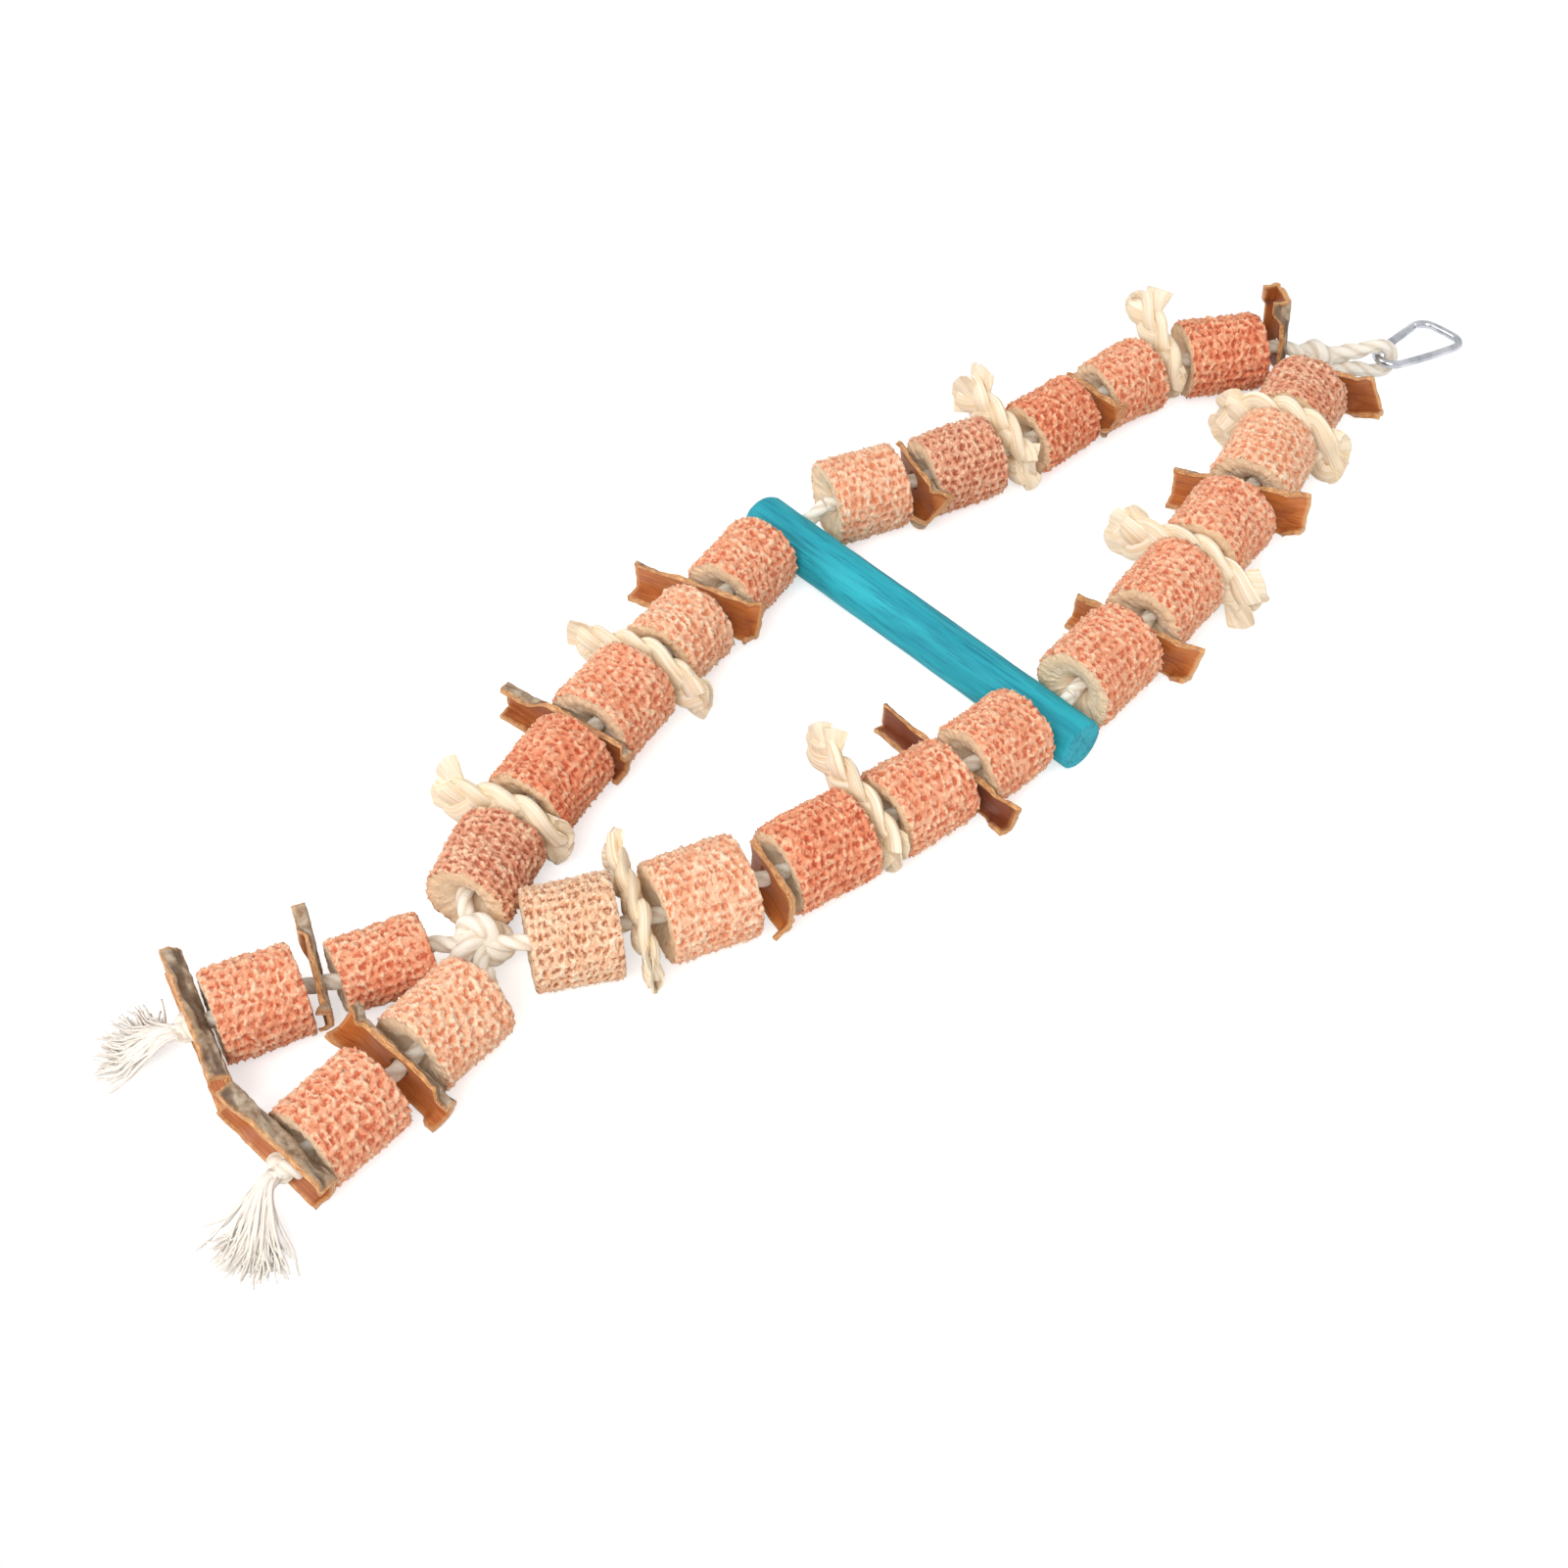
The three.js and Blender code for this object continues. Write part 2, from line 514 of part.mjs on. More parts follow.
// Top knot, where the two strands double up into the loop that the hook hangs in
const topKnot = upperLeft.end.clone().add(upperRight.end).multiplyScalar(0.5);
topKnot.y = Math.max(upperLeft.end.y, upperRight.end.y) + TOP_KNOT_RISE;
topKnot.z = TOP_KNOT_HEIGHT;
const loopRoom = (ROPE_DIAMETER + HOOK_WIRE) / 2 + LOOP_CLEARANCE;
const loopHalf = loopRoom / Math.sin(rad(LOOP_ROLL + HOOK_ROLL));
const eyeHeight = loopHalf * Math.sin(rad(LOOP_ROLL)) + ROPE_DIAMETER / 2 + LOOP_LIFT;
const loopAlong = headed(LOOP_HEADING, 1);
loopAlong.z = (eyeHeight - TOP_KNOT_HEIGHT) / LOOP_LENGTH;
loopAlong.normalize();
const loopLevel = new THREE.Vector3().crossVectors(loopAlong, UP).normalize();
const loopSide = loopLevel.clone().applyAxisAngle(loopAlong, rad(LOOP_ROLL));
const loopPoint = (along, side) =>
  topKnot.clone().addScaledVector(loopAlong, along).addScaledVector(loopSide, side);
const loopRoute = [loopPoint(0, -ROPE_DIAMETER / 3), loopPoint(LOOP_LENGTH / 2, -loopHalf * 0.8)];
for (let i = 0; i <= 6; i += 1) {
  const angle = Math.PI * i / 6;
  loopRoute.push(loopPoint(LOOP_LENGTH + loopHalf * Math.sin(angle), -loopHalf * Math.cos(angle)));
}
loopRoute.push(loopPoint(LOOP_LENGTH / 2, loopHalf * 0.8), loopPoint(0, ROPE_DIAMETER / 3));
const loopApex = loopPoint(LOOP_LENGTH + loopHalf, 0);

function knotLump(centre, axis) {
  const level = new THREE.Vector3().crossVectors(axis, UP).normalize();
  const turns = [-1, 1].map((end) => {
    const lean = axis.clone().applyAxisAngle(level, end * rad(KNOT_RING_LEAN));
    const seat = centre.clone().addScaledVector(axis, end * KNOT_RING_SPACING / 2);
    return ring(seat, lean, KNOT_RING_RADIUS, ROPE_DIAMETER);
  });
  return [ball(centre, KNOT_RING_RADIUS + ROPE_DIAMETER / 4), ...turns];
}
function ball(centre, radius) {
  const geometry = new THREE.SphereGeometry(radius, 10, 6);
  geometry.translate(centre.x, centre.y, centre.z);
  return turnedOut(geometry);
}
function join(geometries) {
  return geometries.map(solid).reduce((whole, next) => whole.add(next));
}
const strandTube = (string, knot) => tube([...string.route, knot], ROPE_DIAMETER, ROPE_STEP, ROPE_SIDES);
const ropeUpper = join([
  strandTube(upperLeft, topKnot), strandTube(upperRight, topKnot),
  tube(loopRoute, ROPE_DIAMETER, ROPE_DIAMETER, ROPE_SIDES), ...knotLump(topKnot, loopAlong),
]);
addPiece('rope_upper', shape(ropeUpper.subtract(perchDrum(perchR + TOUCH_GAP))), ROPE_COLOUR);

// Bottom knot, with a rounded lump where each tail leaves it
const bottomKnot = lowerLeft.end.clone().add(lowerRight.end).multiplyScalar(0.5);
bottomKnot.y = Math.min(lowerLeft.end.y, lowerRight.end.y) - BOTTOM_KNOT_DROP;
bottomKnot.z = BOTTOM_KNOT_HEIGHT;
function tailJoint(lead) {
  return bottomKnot.clone().addScaledVector(headed(lead.heading, -1), TAIL_JOINT_REACH);
}
const tailJoints = { left: tailJoint(TAIL_LEFT_LEAD), right: tailJoint(TAIL_RIGHT_LEAD) };
const ropeLower = join([
  strandTube(lowerLeft, bottomKnot), strandTube(lowerRight, bottomKnot),
  ...knotLump(bottomKnot, headed(0, 1)),
  ...Object.values(tailJoints).map((centre) => ball(centre, TAIL_JOINT_RADIUS)),
]);
addPiece('rope_lower', shape(ropeLower.subtract(perchDrum(perchR + TOUCH_GAP))), ROPE_COLOUR);

// Tails: rope, end knot and a tassel of loose locks
function addTail(side, lead, beads, fan) {
  const joint = tailJoints[side];
  const string = layString(joint, { gap: TAIL_JOINT_RADIUS + lead.gap, heading: lead.heading }, beads, -1);
  const last = beads[beads.length - 1];
  const way = headed(last.heading, -1);
  const web = BARK_THICKNESS - barkDepth(last) / 2 + FACE_GAP;
  const ballSeat = Math.sqrt(Math.max(0, KNOT_RING_RADIUS ** 2 - boreRadius ** 2)) + FACE_GAP;
  const seat = Math.max(ROPE_DIAMETER / 2, ballSeat);
  const knot = last.centre.clone().addScaledVector(way, web + seat).sub(ropeDrop);
  const tip = knot.clone().addScaledVector(way, ROPE_DIAMETER);
  const rope = join([
    tube([...string.route.slice(0, -1), knot, tip], ROPE_DIAMETER, ROPE_STEP, ROPE_SIDES),
    ring(knot, way, KNOT_RING_RADIUS - ROPE_DIAMETER / 4, ROPE_DIAMETER), ball(knot, KNOT_RING_RADIUS),
  ]);
  const socket = solid(ball(joint, TAIL_JOINT_RADIUS + TOUCH_GAP));
  addPiece(`rope_tail_${side}`, shape(rope.subtract(socket)), ROPE_COLOUR);
  addPiece(`tassel_${side}`, tassel(tip.clone().addScaledVector(way, TOUCH_GAP), way, fan), ROPE_COLOUR);
  return string;
}
function tassel(root, way, fan) {
  const level = new THREE.Vector3().crossVectors(way, UP).normalize();
  const core = rod(root, root.clone().addScaledVector(way, ROPE_DIAMETER), ROPE_DIAMETER / 2, 10);
  const start = root.clone().addScaledVector(way, ROPE_DIAMETER / 2);
  const locks = [];
  for (let i = 0; i < TASSEL_LOCKS; i += 1) {
    const share = i / (TASSEL_LOCKS - 1) - 0.5;
    const aim = way.clone().applyAxisAngle(UP, rad(fan + TASSEL_SPREAD * share));
    const drop = (TASSEL_LOCK_TIP - start.z) / TASSEL_LENGTH * (i % 2 ? 1 : 0.55);
    const tip = start.clone().addScaledVector(aim, TASSEL_LENGTH * (1 - 0.25 * Math.abs(share)));
    tip.z += drop * TASSEL_LENGTH;
    const lean = level.clone().multiplyScalar(share);
    locks.push(rod(start.clone().add(lean), tip, TASSEL_LOCK_ROOT, 6, TASSEL_LOCK_TIP));
  }
  return shape(join([core, ...locks].map(turnedOut)));
}
const tailLeft = addTail('left', TAIL_LEFT_LEAD, TAIL_LEFT, TASSEL_FAN.left);
const tailRight = addTail('right', TAIL_RIGHT_LEAD, TAIL_RIGHT, TASSEL_FAN.right);

// Every bead on its stretch of rope
const strings = [upperLeft, upperRight, lowerLeft, lowerRight, tailLeft, tailRight];
let cobCount = 0;
for (const bead of strings.flatMap((string) => string.beads)) {
  const colours = { bark: BARK_COLOUR, husk: HUSK_COLOUR, cob: COB_COLOURS[cobCount % COB_COLOURS.length] };
  placeBead(bead, colours[bead.kind]);
  if (bead.kind === 'cob') cobCount += 1;
}

// Snap hook, drawn in its own plane: a belt round one narrow and two corner circles. The wire's narrow end
// lies in the rope loop at the origin, and the gate is the belt's left side.
const hookMid = (HOOK_WIDTH - HOOK_WIRE) / 2;
const hookTop = HOOK_LENGTH - HOOK_WIRE;
const narrow = { x: 0, y: HOOK_NARROW_RADIUS, r: HOOK_NARROW_RADIUS };
const cornerRight = {
  x: hookMid - HOOK_CORNER_RADIUS, y: hookTop - HOOK_CORNER_RADIUS, r: HOOK_CORNER_RADIUS,
};
const cornerLeft = { ...cornerRight, x: -cornerRight.x };
const lean = Math.atan2(cornerRight.x, cornerRight.y - narrow.y);
const reach = Math.hypot(cornerRight.x, cornerRight.y - narrow.y);
const sideAngle = -lean + Math.asin((narrow.r - cornerRight.r) / reach);
const onCircle = (c, angle) => new THREE.Vector3(c.x + c.r * Math.cos(angle), c.y + c.r * Math.sin(angle), 0);
const gateFoot = onCircle(narrow, Math.PI - sideAngle);
const gateHead = onCircle(cornerLeft, Math.PI - sideAngle);
const gateAlong = gateHead.clone().sub(gateFoot).normalize();
const pivot = gateFoot.clone().addScaledVector(gateAlong, GATE_END + GATE_SWING_GAP);
const wireEnd = gateFoot.clone();
const nose = gateHead.clone();
function arcPoints(c, from, to, count) {
  const points = [];
  for (let i = 0; i <= count; i += 1) points.push(onCircle(c, THREE.MathUtils.lerp(from, to, i / count)));
  return points;
}
const hookRoute = [
  ...arcPoints(cornerLeft, Math.PI - sideAngle, Math.PI / 2, 4),
  ...arcPoints(cornerRight, Math.PI / 2, sideAngle, 4),
  ...arcPoints(narrow, sideAngle, -Math.PI - sideAngle, 6),
];
const hookTube = tube(hookRoute, HOOK_WIRE, HOOK_WIRE * 0.9, ROPE_SIDES);

// A slab in the hook's plane, set along the gate
function slab(centre, length, width, thickness) {
  const geometry = new THREE.BoxGeometry(width, length, thickness);
  geometry.rotateZ(-Math.atan2(gateAlong.x, gateAlong.y));
  geometry.translate(centre.x, centre.y, centre.z);
  return solid(turnedOut(geometry));
}
const pinRod = (half, diameter) => {
  const up = new THREE.Vector3(0, 0, half);
  return turnedOut(rod(pivot.clone().sub(up), pivot.clone().add(up), diameter / 2, 12));
};
const pinHole = solid(pinRod(HOOK_WIDTH / 2, PIN_DIAMETER + 2 * PIN_CLEARANCE));
const tongueLength = pivot.distanceTo(wireEnd) + GATE_END + HOOK_WIRE / 4;
const tongueCentre = wireEnd.clone().addScaledVector(gateAlong, tongueLength / 2 - HOOK_WIRE / 4);
const tongue = slab(tongueCentre, tongueLength, HOOK_WIRE * 0.9, GATE_TONGUE).subtract(pinHole);
const hookBody = solid(hookTube).add(tongue);
const gateStart = pivot.clone().addScaledVector(gateAlong, -GATE_END);
const gateStop = nose.clone().addScaledVector(gateAlong, -GATE_NOSE_GAP);
const forkReach = 2 * (GATE_END + GATE_FORK_LENGTH);
const forkSlot = slab(pivot, forkReach, 2 * GATE_DIAMETER, GATE_TONGUE + 2 * TOUCH_GAP);
const gateBar = solid(turnedOut(rod(gateStart, gateStop, GATE_DIAMETER / 2, 12)));
const gatePieces = {
  hook_body: shape(hookBody),
  hook_gate: shape(gateBar.subtract(forkSlot).subtract(pinHole)),
  hook_pin: pinRod(GATE_DIAMETER / 2 + TOUCH_GAP, PIN_DIAMETER),
};
const hookAlong = headed(HOOK_HEADING, Math.cos(rad(HOOK_DIP)));
hookAlong.z = -Math.sin(rad(HOOK_DIP));
hookAlong.normalize();
const hookLevel = new THREE.Vector3().crossVectors(hookAlong, UP).normalize();
const hookSide = hookLevel.applyAxisAngle(hookAlong, -rad(HOOK_ROLL));
const hookNormal = new THREE.Vector3().crossVectors(hookSide, hookAlong);
const hookFrame = new THREE.Matrix4().makeBasis(hookSide, hookAlong, hookNormal);
hookFrame.setPosition(loopApex.clone().addScaledVector(hookAlong, -loopHalf));
for (const [name, geometry] of Object.entries(gatePieces)) {
  addPiece(name, geometry, METAL_COLOUR, 1, 0.2).applyMatrix4(hookFrame);
}

// Origin under the middle of the box round the whole toy
toy.updateMatrixWorld(true);
const box = new THREE.Box3().setFromObject(toy, true);
const middle = box.getCenter(new THREE.Vector3());
toy.position.set(-middle.x, -middle.y, -box.min.z);
toy.updateMatrixWorld(true);

export default toy;
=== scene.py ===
import json
import math
import zlib
from collections import namedtuple

import bmesh
import bpy
import numpy as np
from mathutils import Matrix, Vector


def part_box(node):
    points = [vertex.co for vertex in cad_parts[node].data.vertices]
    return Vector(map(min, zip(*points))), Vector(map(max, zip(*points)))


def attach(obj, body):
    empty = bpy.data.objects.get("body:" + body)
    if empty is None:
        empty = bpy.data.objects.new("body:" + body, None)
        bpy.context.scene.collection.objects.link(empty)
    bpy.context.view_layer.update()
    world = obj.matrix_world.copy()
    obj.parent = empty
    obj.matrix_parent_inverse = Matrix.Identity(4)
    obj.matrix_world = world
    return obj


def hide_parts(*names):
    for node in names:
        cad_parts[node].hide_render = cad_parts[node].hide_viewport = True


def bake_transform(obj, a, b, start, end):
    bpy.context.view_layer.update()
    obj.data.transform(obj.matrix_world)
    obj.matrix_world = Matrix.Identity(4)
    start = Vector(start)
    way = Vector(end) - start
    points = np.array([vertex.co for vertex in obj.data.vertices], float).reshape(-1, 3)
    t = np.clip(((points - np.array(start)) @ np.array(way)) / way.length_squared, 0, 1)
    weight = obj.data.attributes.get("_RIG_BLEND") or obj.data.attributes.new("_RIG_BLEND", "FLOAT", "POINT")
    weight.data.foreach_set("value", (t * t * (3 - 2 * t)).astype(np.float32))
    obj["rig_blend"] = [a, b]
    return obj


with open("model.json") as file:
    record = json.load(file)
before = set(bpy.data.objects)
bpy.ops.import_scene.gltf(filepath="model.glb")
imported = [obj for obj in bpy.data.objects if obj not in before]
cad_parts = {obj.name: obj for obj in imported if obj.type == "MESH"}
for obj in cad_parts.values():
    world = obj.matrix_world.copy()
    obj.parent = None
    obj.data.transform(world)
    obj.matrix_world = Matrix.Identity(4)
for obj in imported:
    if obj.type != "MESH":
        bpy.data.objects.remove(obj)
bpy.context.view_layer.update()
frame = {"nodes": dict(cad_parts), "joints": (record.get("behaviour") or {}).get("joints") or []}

# Lengths are millimetres in the CAD frame until a mesh is made
MM = 0.001
WELD = 0.002
SHARP = 50
HUSK_SHARP = 55
UP = np.array([0.0, 0.0, 1.0])
ROPE_WAY = np.array([0.0, 1.0, 0.0])  # in a bead's own frame
ROUND = 2 * math.pi
SIDES = ("left", "right")
JOINTS = {joint["name"]: joint for joint in frame["joints"]}

# Camera, placed from the middle of the perch on the floor
CAMERA_PLACE = np.array([371.7, -415.1, 572.6])
CAMERA_TARGET = np.array([13.6, -68.6, 0.0])
CAMERA_LENS = 58.46
CAMERA_SENSOR = 36
CAMERA_FAR = 20

# Floor, in metres: how far its shadows reach, how far down it looks for what hangs below it, and their fades
FLOOR_HALF = 4
FLOOR_GREY = (0.8, 0.8, 0.8, 1)
FLOOR_GLOW = 0.55
FLOOR_SHADE_REACH = 0.035
FLOOR_SHADE_FADE = (0.79, 0.99)
FLOOR_UNDER_REACH = 0.08
FLOOR_UNDER_FADE = (1.0, 0.9)
FLOOR_SAMPLES = (8, 16)

# Light: strength of the world on the object, and place in metres, size and watts of each lamp
WORLD_LIGHT = 0.64
LAMPS = {"key": ((0.9, -1.6, 2.0), 1.45, 40.0), "fill": ((-1.6, -1.4, 1.6), 1.8, 17.0)}

# Rope, how low it lies in the bores, and its strands as shares of its radius
ROPE_RADIUS = 2.5
ROPE_DROP = 0.52
ROPE_SIDES = 24
ROPE_STEP = 1.3
ROPE_LAY = 19.0
STRAND_RADIUS = 0.65
STRAND_OFFSET = 0.35
BORE_RADIUS = 3.7
STRIP_LEAD = 3

# Stubs that bend: step, start of the lay, straight stretch, and where the bend starts and ends past its joint
STUB_STEP = 0.8
STUB_LAY_START = 3.0
TAIL_LAY_START = 4.0
STUB_STRAIGHT = 5.0
PERCH_BEND = (2, 11)
TAIL_BEND = (-3, 6)
TAIL_LEAD = 2.0

# Knots, from the middle of the perch on the floor, and how they are tied
TOP_KNOT = np.array([7.21, 191.09, 7.5])
BOTTOM_KNOT = np.array([3.16, -175.77, 10.0])
BOTTOM_HEADING = 20
TOP_TIE = {"radius": 3.4, "scale": 1.7, "stretch": 1.25, "roll": 70}
BOTTOM_TIE = {"radius": 3.3, "scale": 1.95, "stretch": 1.25, "roll": 60}
TAIL_TIE = {"radius": 2.1, "scale": 1.25, "stretch": 0.8, "roll": 20}
KNOT_POINTS = 150
KNOT_HEIGHT = 1.35
TAIL_KNOT_GAP = 3.0
TAIL_END = 5

# Rope loop, and its legs from the knot to the eye as shares of its length and half width
LOOP_HEADING = 38
LOOP_ROLL = 80
LOOP_LENGTH = 22
LOOP_HALF = 4.92
LOOP_ROOT = 1.7
LOOP_LEG = ((0.45, 0.62), (0.75, 0.78))
LOOP_REST = 0.4
LOOP_ROPE_RADIUS = 3.15
LOOP_TAPER = (0.3, 0.65)

# Tassels: their yarns, and the spread and heading of each fan
TASSEL_LENGTH = 22
TASSEL_YARNS = 130
TASSEL_SPREAD = {"left": 84, "right": 62}
TASSEL_FAN = {"left": -44, "right": 27}
TASSEL_ROOT = 4.0
TASSEL_BUNCH = 2.0
YARN_SIDES = 6
YARN_POINTS = 15
YARN_STRAIGHT = 3.2
YARN_REST = 0.5

# Perch, with the rounding of its left and right end
PERCH_SIDES = 72
PERCH_STATIONS = 110
PERCH_ROUNDING = (4.6, 1.0)
PERCH_SKIN = 0.18
DRILL_HALF = 14
DRILL_SIDES = 32
DRILL_RADIUS = BORE_RADIUS - 0.2

# Snap hook in its own plane, with rod ends as places and shares of the radius
HOOK_WIRE = 2.8
HOOK_LENGTH = 37
HOOK_WIDTH = 21
HOOK_NARROW_RADIUS = 5.2
HOOK_CORNER_RADIUS = 5
HOOK_STEP = 0.7
HOOK_TIP = (0.72, 0.92)
HOOK_SIDES = 24
CORNER_POINTS = 14
NARROW_POINTS = 24
GATE_DIAMETER = 3.2
GATE_END = 1.6
GATE_SWING_GAP = 1
GATE_NOSE_GAP = 0.4
GATE_SLOT = 1.8
GATE_SLOT_LENGTH = 7.6
GATE_FOOT = ((0, 0.7), (0.25, 0.9), (0.6, 1))
GATE_HEAD = ((0, 0.75), (0.25, 0.92), (0.6, 1))
GATE_SIDES = 28
TONGUE = 1.2
TONGUE_WIDE = 0.88
TONGUE_ROUND = 0.55
TONGUE_ROOT = 0.6
PIN_DIAMETER = 1.2
PIN_PROUD = 0.3
PIN_ENDS = ((0, 0.5), (0.15, 0.85), (0.35, 1))
PIN_SIDES = 16

# Bark strips are troughs with a flat web, rounded corners and walls, pinched where cobs hold them
BARK_WIDTH = 28
BARK_WEB = 10
BARK_CORNER = 3.5
BARK_THICKNESS = 1.8
BARK_HELD = 12.8
BARK_PINCH = 0.85
BARK_ROWS = 66
BARK_COLUMNS = 41
BARK_RIM_ROWS = 4
BARK_END_REACH = 9
STRIP_HOLE_RADIUS = 3.15
STRIP_HOLE_SPREAD = 1.6

# A strip's reach left and right of the rope, turn about it, curl in the middle and at both ends, share of
# the full width, drop below the hole, yaw, slant of the cut ends, twist that turns the hollow of the ends
# upwards, share of the upper wall that is left, how much its inside is darkened (painted shade, with some
# of the bark's own darker tone), and a fuller curl of the middle where no cob is in the way
STRIP_FIELDS = "reach turn arcs wide drop yaw slant twist top deep curl"
STRIP_DEFAULTS = (1.0, 0.0, 0.0, (0, 0), (0, 0), 1.0, 0.0, 0.0)
Strip = namedtuple("Strip", STRIP_FIELDS, defaults=STRIP_DEFAULTS)
BARKS = {
    "left_1": Strip((9, 21), 98, (95, 95, 190), 0.85, slant=(0, 0.1), deep=0.6),
    "left_2": Strip((10, 14), 4, (95, 95, 165), 0.8, slant=(0, 0.15), twist=(0, 30), top=0.6),
    "left_3": Strip((10, 18), 2, (78, 78, 180), slant=(0, 0.1), twist=(0, 42), top=0.6, deep=0.2),
    "left_4": Strip((30, 18), 7, (87, 175, 180), 0.9, 0.2, slant=(0.1, 0), twist=(0, 30), top=0.4, deep=0.1),
    "left_5": Strip((28, 16), -8, (60, 175, 160), 0.8, 0.6, slant=(-0.1, 0.1), top=0.8, deep=0.4),
    "right_1": Strip((11, 22), 8, (89, 89, 165), 0.85, 1, slant=(0, -0.5), twist=(0, 25), top=0.4, deep=0.5),
    "right_2": Strip((25, 22), 9, (83, 170, 175), 0.9, 0.5, slant=(0.1, 0), twist=(0, 28), top=0.4),
    "right_3": Strip(
        (23, 22), 2, (84, 165, 170), 0.8, 2.6, slant=(0.1, 0.1), twist=(0, 30), top=0.4, deep=0.1
    ),
    "right_4": Strip(
        (34, 24), 3, (45, 165, 165), 0.65, 2, slant=(-0.1, 0.1), twist=(10, 20), top=0.4, deep=1
    ),
    "right_5": Strip((9, 15), 0, (75, 75, 115), top=0.3, deep=0.1),
    "tail_left_1": Strip((26, 12), -5, (50, 215, 150), 0.6, 1, 8, slant=(0.1, 0), deep=0.6),
    "tail_left_2": Strip((25, 24), 0, (56, 150, 150), 0.8, 1, slant=(0.1, -0.1), deep=0.1, curl=120),
    "tail_right_1": Strip(
        (20.5, 19), -14, (90, 180, 170), 0.9, -0.6, slant=(0.1, 0.1), twist=(25, 0), top=0.7
    ),
    "tail_right_2": Strip((25, 14), -12, (42, 160, 160), 0.85, -1.2, slant=(0, 0.1), deep=0.2, curl=130),
}

# A plait's reach left and right of the rope, turn about it, sag of both ends and share of the usual swing
Husk = namedtuple("Husk", "reach turn sag wide", defaults=(1.0,))
HUSKS = {
    "left_1": Husk((26, 10), -39, (3, 0)),
    "left_2": Husk((27, 13), -26, (3, 0)),
    "left_3": Husk((27, 22), 0, (4, 4)),
    "left_4": Husk((26, 16), -8, (4, 1)),
    "right_1": Husk((22, 23), -2, (4, 4), wide=1.35),
    "right_2": Husk((28, 24), -10, (6, 2)),
    "right_3": Husk((31, 13), -29, (3, 0)),
    "right_4": Husk((27, 20), -10, (4, 2)),
}

# Plait strands, how they part round the rope, and the leaves at both ends
PLAIT_PERIOD = 30.0
PLAIT_SWING = 5.4
PLAIT_RISE = 4.0
PLAIT_RISE_REACH = 14
PLAIT_LIFT = 1.2
PLAIT_HALF_WIDTH = 4.2
PLAIT_HALF_THICKNESS = 1.8
PLAIT_SIDES = 18
PLAIT_STEP = 0.75
PLAIT_SHORT = 3
PLAIT_PART = 6.2
PLAIT_PART_REACH = 5.5
LEAF_ROOT = 11.0
LEAF_LEANS = (-26, 0, 26)
LEAF_HALF_THICKNESS = 0.28
LEAF_ROWS = 14
LEAF_COLUMNS = 13
LEAF_REST = 0.3

# Cobs: the grid of their sides, their pits, and the rings of an end face as shares of its radius
COB_COLUMNS = 140
COB_ROWS = 56
COB_BASE = 0.965
COB_REST = 0.05
PIT_WIDTH = 3.7
PIT_PITCH = {"coral": 2.8, "salmon": 2.9, "peach": 3.0, "dusty": 2.7, "pale": 2.4}
PIT_DEPTH = 0.8
PIT_SQUARENESS = 2.6
PIT_CHANCES = 64
FACE_SHARES = np.array([0.97, 0.9, 0.8, 0.68, 0.58, 0.5, 0.42, 0.34])
FACE_INSET = 0.35
FACE_BORE_DEPTH = 3.5

# Cob tints by piece, and the tints: chaff between the pits, inside of a pit (painted shade of the pit hollow
# with the chaff's own redder tone, also used for random dark grit), and papery lips, as sRGB
COB_LOOKS = {
    "coral": ["left_1", "left_3", "left_9", "right_8"],
    "salmon": [
        "left_2", "left_6", "left_8", "right_3", "right_4", "right_5", "right_6", "right_7",
        "tail_left_1", "tail_left_2", "tail_right_2",
    ],
    "peach": ["left_5", "left_7", "right_2", "right_9", "tail_right_1"],
    "dusty": ["left_4", "left_10", "right_1"],
    "pale": ["right_10"],
}
COB_TINTS = {
    "coral": ((236, 138, 98), (186, 80, 50), (253, 204, 164)),
    "salmon": ((242, 158, 118), (202, 100, 66), (255, 216, 180)),
    "peach": ((247, 180, 140), (216, 126, 86), (255, 228, 196)),
    "dusty": ((230, 150, 114), (168, 84, 58), (250, 214, 180)),
    "pale": ((246, 188, 146), (172, 100, 64), (255, 234, 204)),
}

# Other colours, as sRGB
COB_WOOD = (255, 229, 198)
COB_WOOD_DARK = (240, 198, 154)
COB_CORE = (246, 219, 188)
BARK_INNER = (166, 84, 36)
BARK_INNER_LIGHT = (212, 132, 66)
BARK_INNER_STREAK = (132, 58, 26)
# Painted shade on the inside of strips that lie in shade, with some of the bark's own darker tone
BARK_INNER_SHADE_AND_TONE = (104, 44, 24)
BARK_OUTER = (134, 108, 84)
BARK_OUTER_LIGHT = (200, 182, 158)
BARK_OUTER_STREAK = (158, 112, 76)
# Painted shade for the sunken cracks of the outer bark
BARK_CRACK_SHADE = (84, 58, 40)
BARK_EDGE = (164, 100, 52)
BARK_EDGE_LIGHT = (232, 180, 120)
HUSK_DARK = (230, 202, 158)
HUSK_LIGHT = (255, 245, 226)
HUSK_VEIN = (208, 162, 108)
HUSK_STAIN = (242, 216, 170)
# Painted shade for the crevices where plait strands run under each other, and for the leaf roots
HUSK_CREVICE_SHADE = (184, 132, 80)
ROPE_LIGHT = (255, 251, 242)
ROPE_DARK = (243, 231, 212)
TASSEL_LIGHT = (255, 251, 245)
TASSEL_DARK = (241, 231, 219)
# Painted shade for the grooves between rope strands; on the tassel, a random darker tone of some yarns
COTTON_GROOVE_SHADE_AND_TONE = (222, 203, 178)
DYE = (16, 150, 168)
DYE_LIGHT = (34, 178, 194)
DYE_GRAIN = (8, 112, 134)
DYE_PATCH = (14, 136, 158)
NICKEL = (158, 161, 167)
NICKEL_LIGHT = (204, 206, 211)


# Numbers, directions and frames
def seeded(name):
    return np.random.default_rng(zlib.crc32(name.encode()))


def unit(vector):
    return vector / np.linalg.norm(vector)


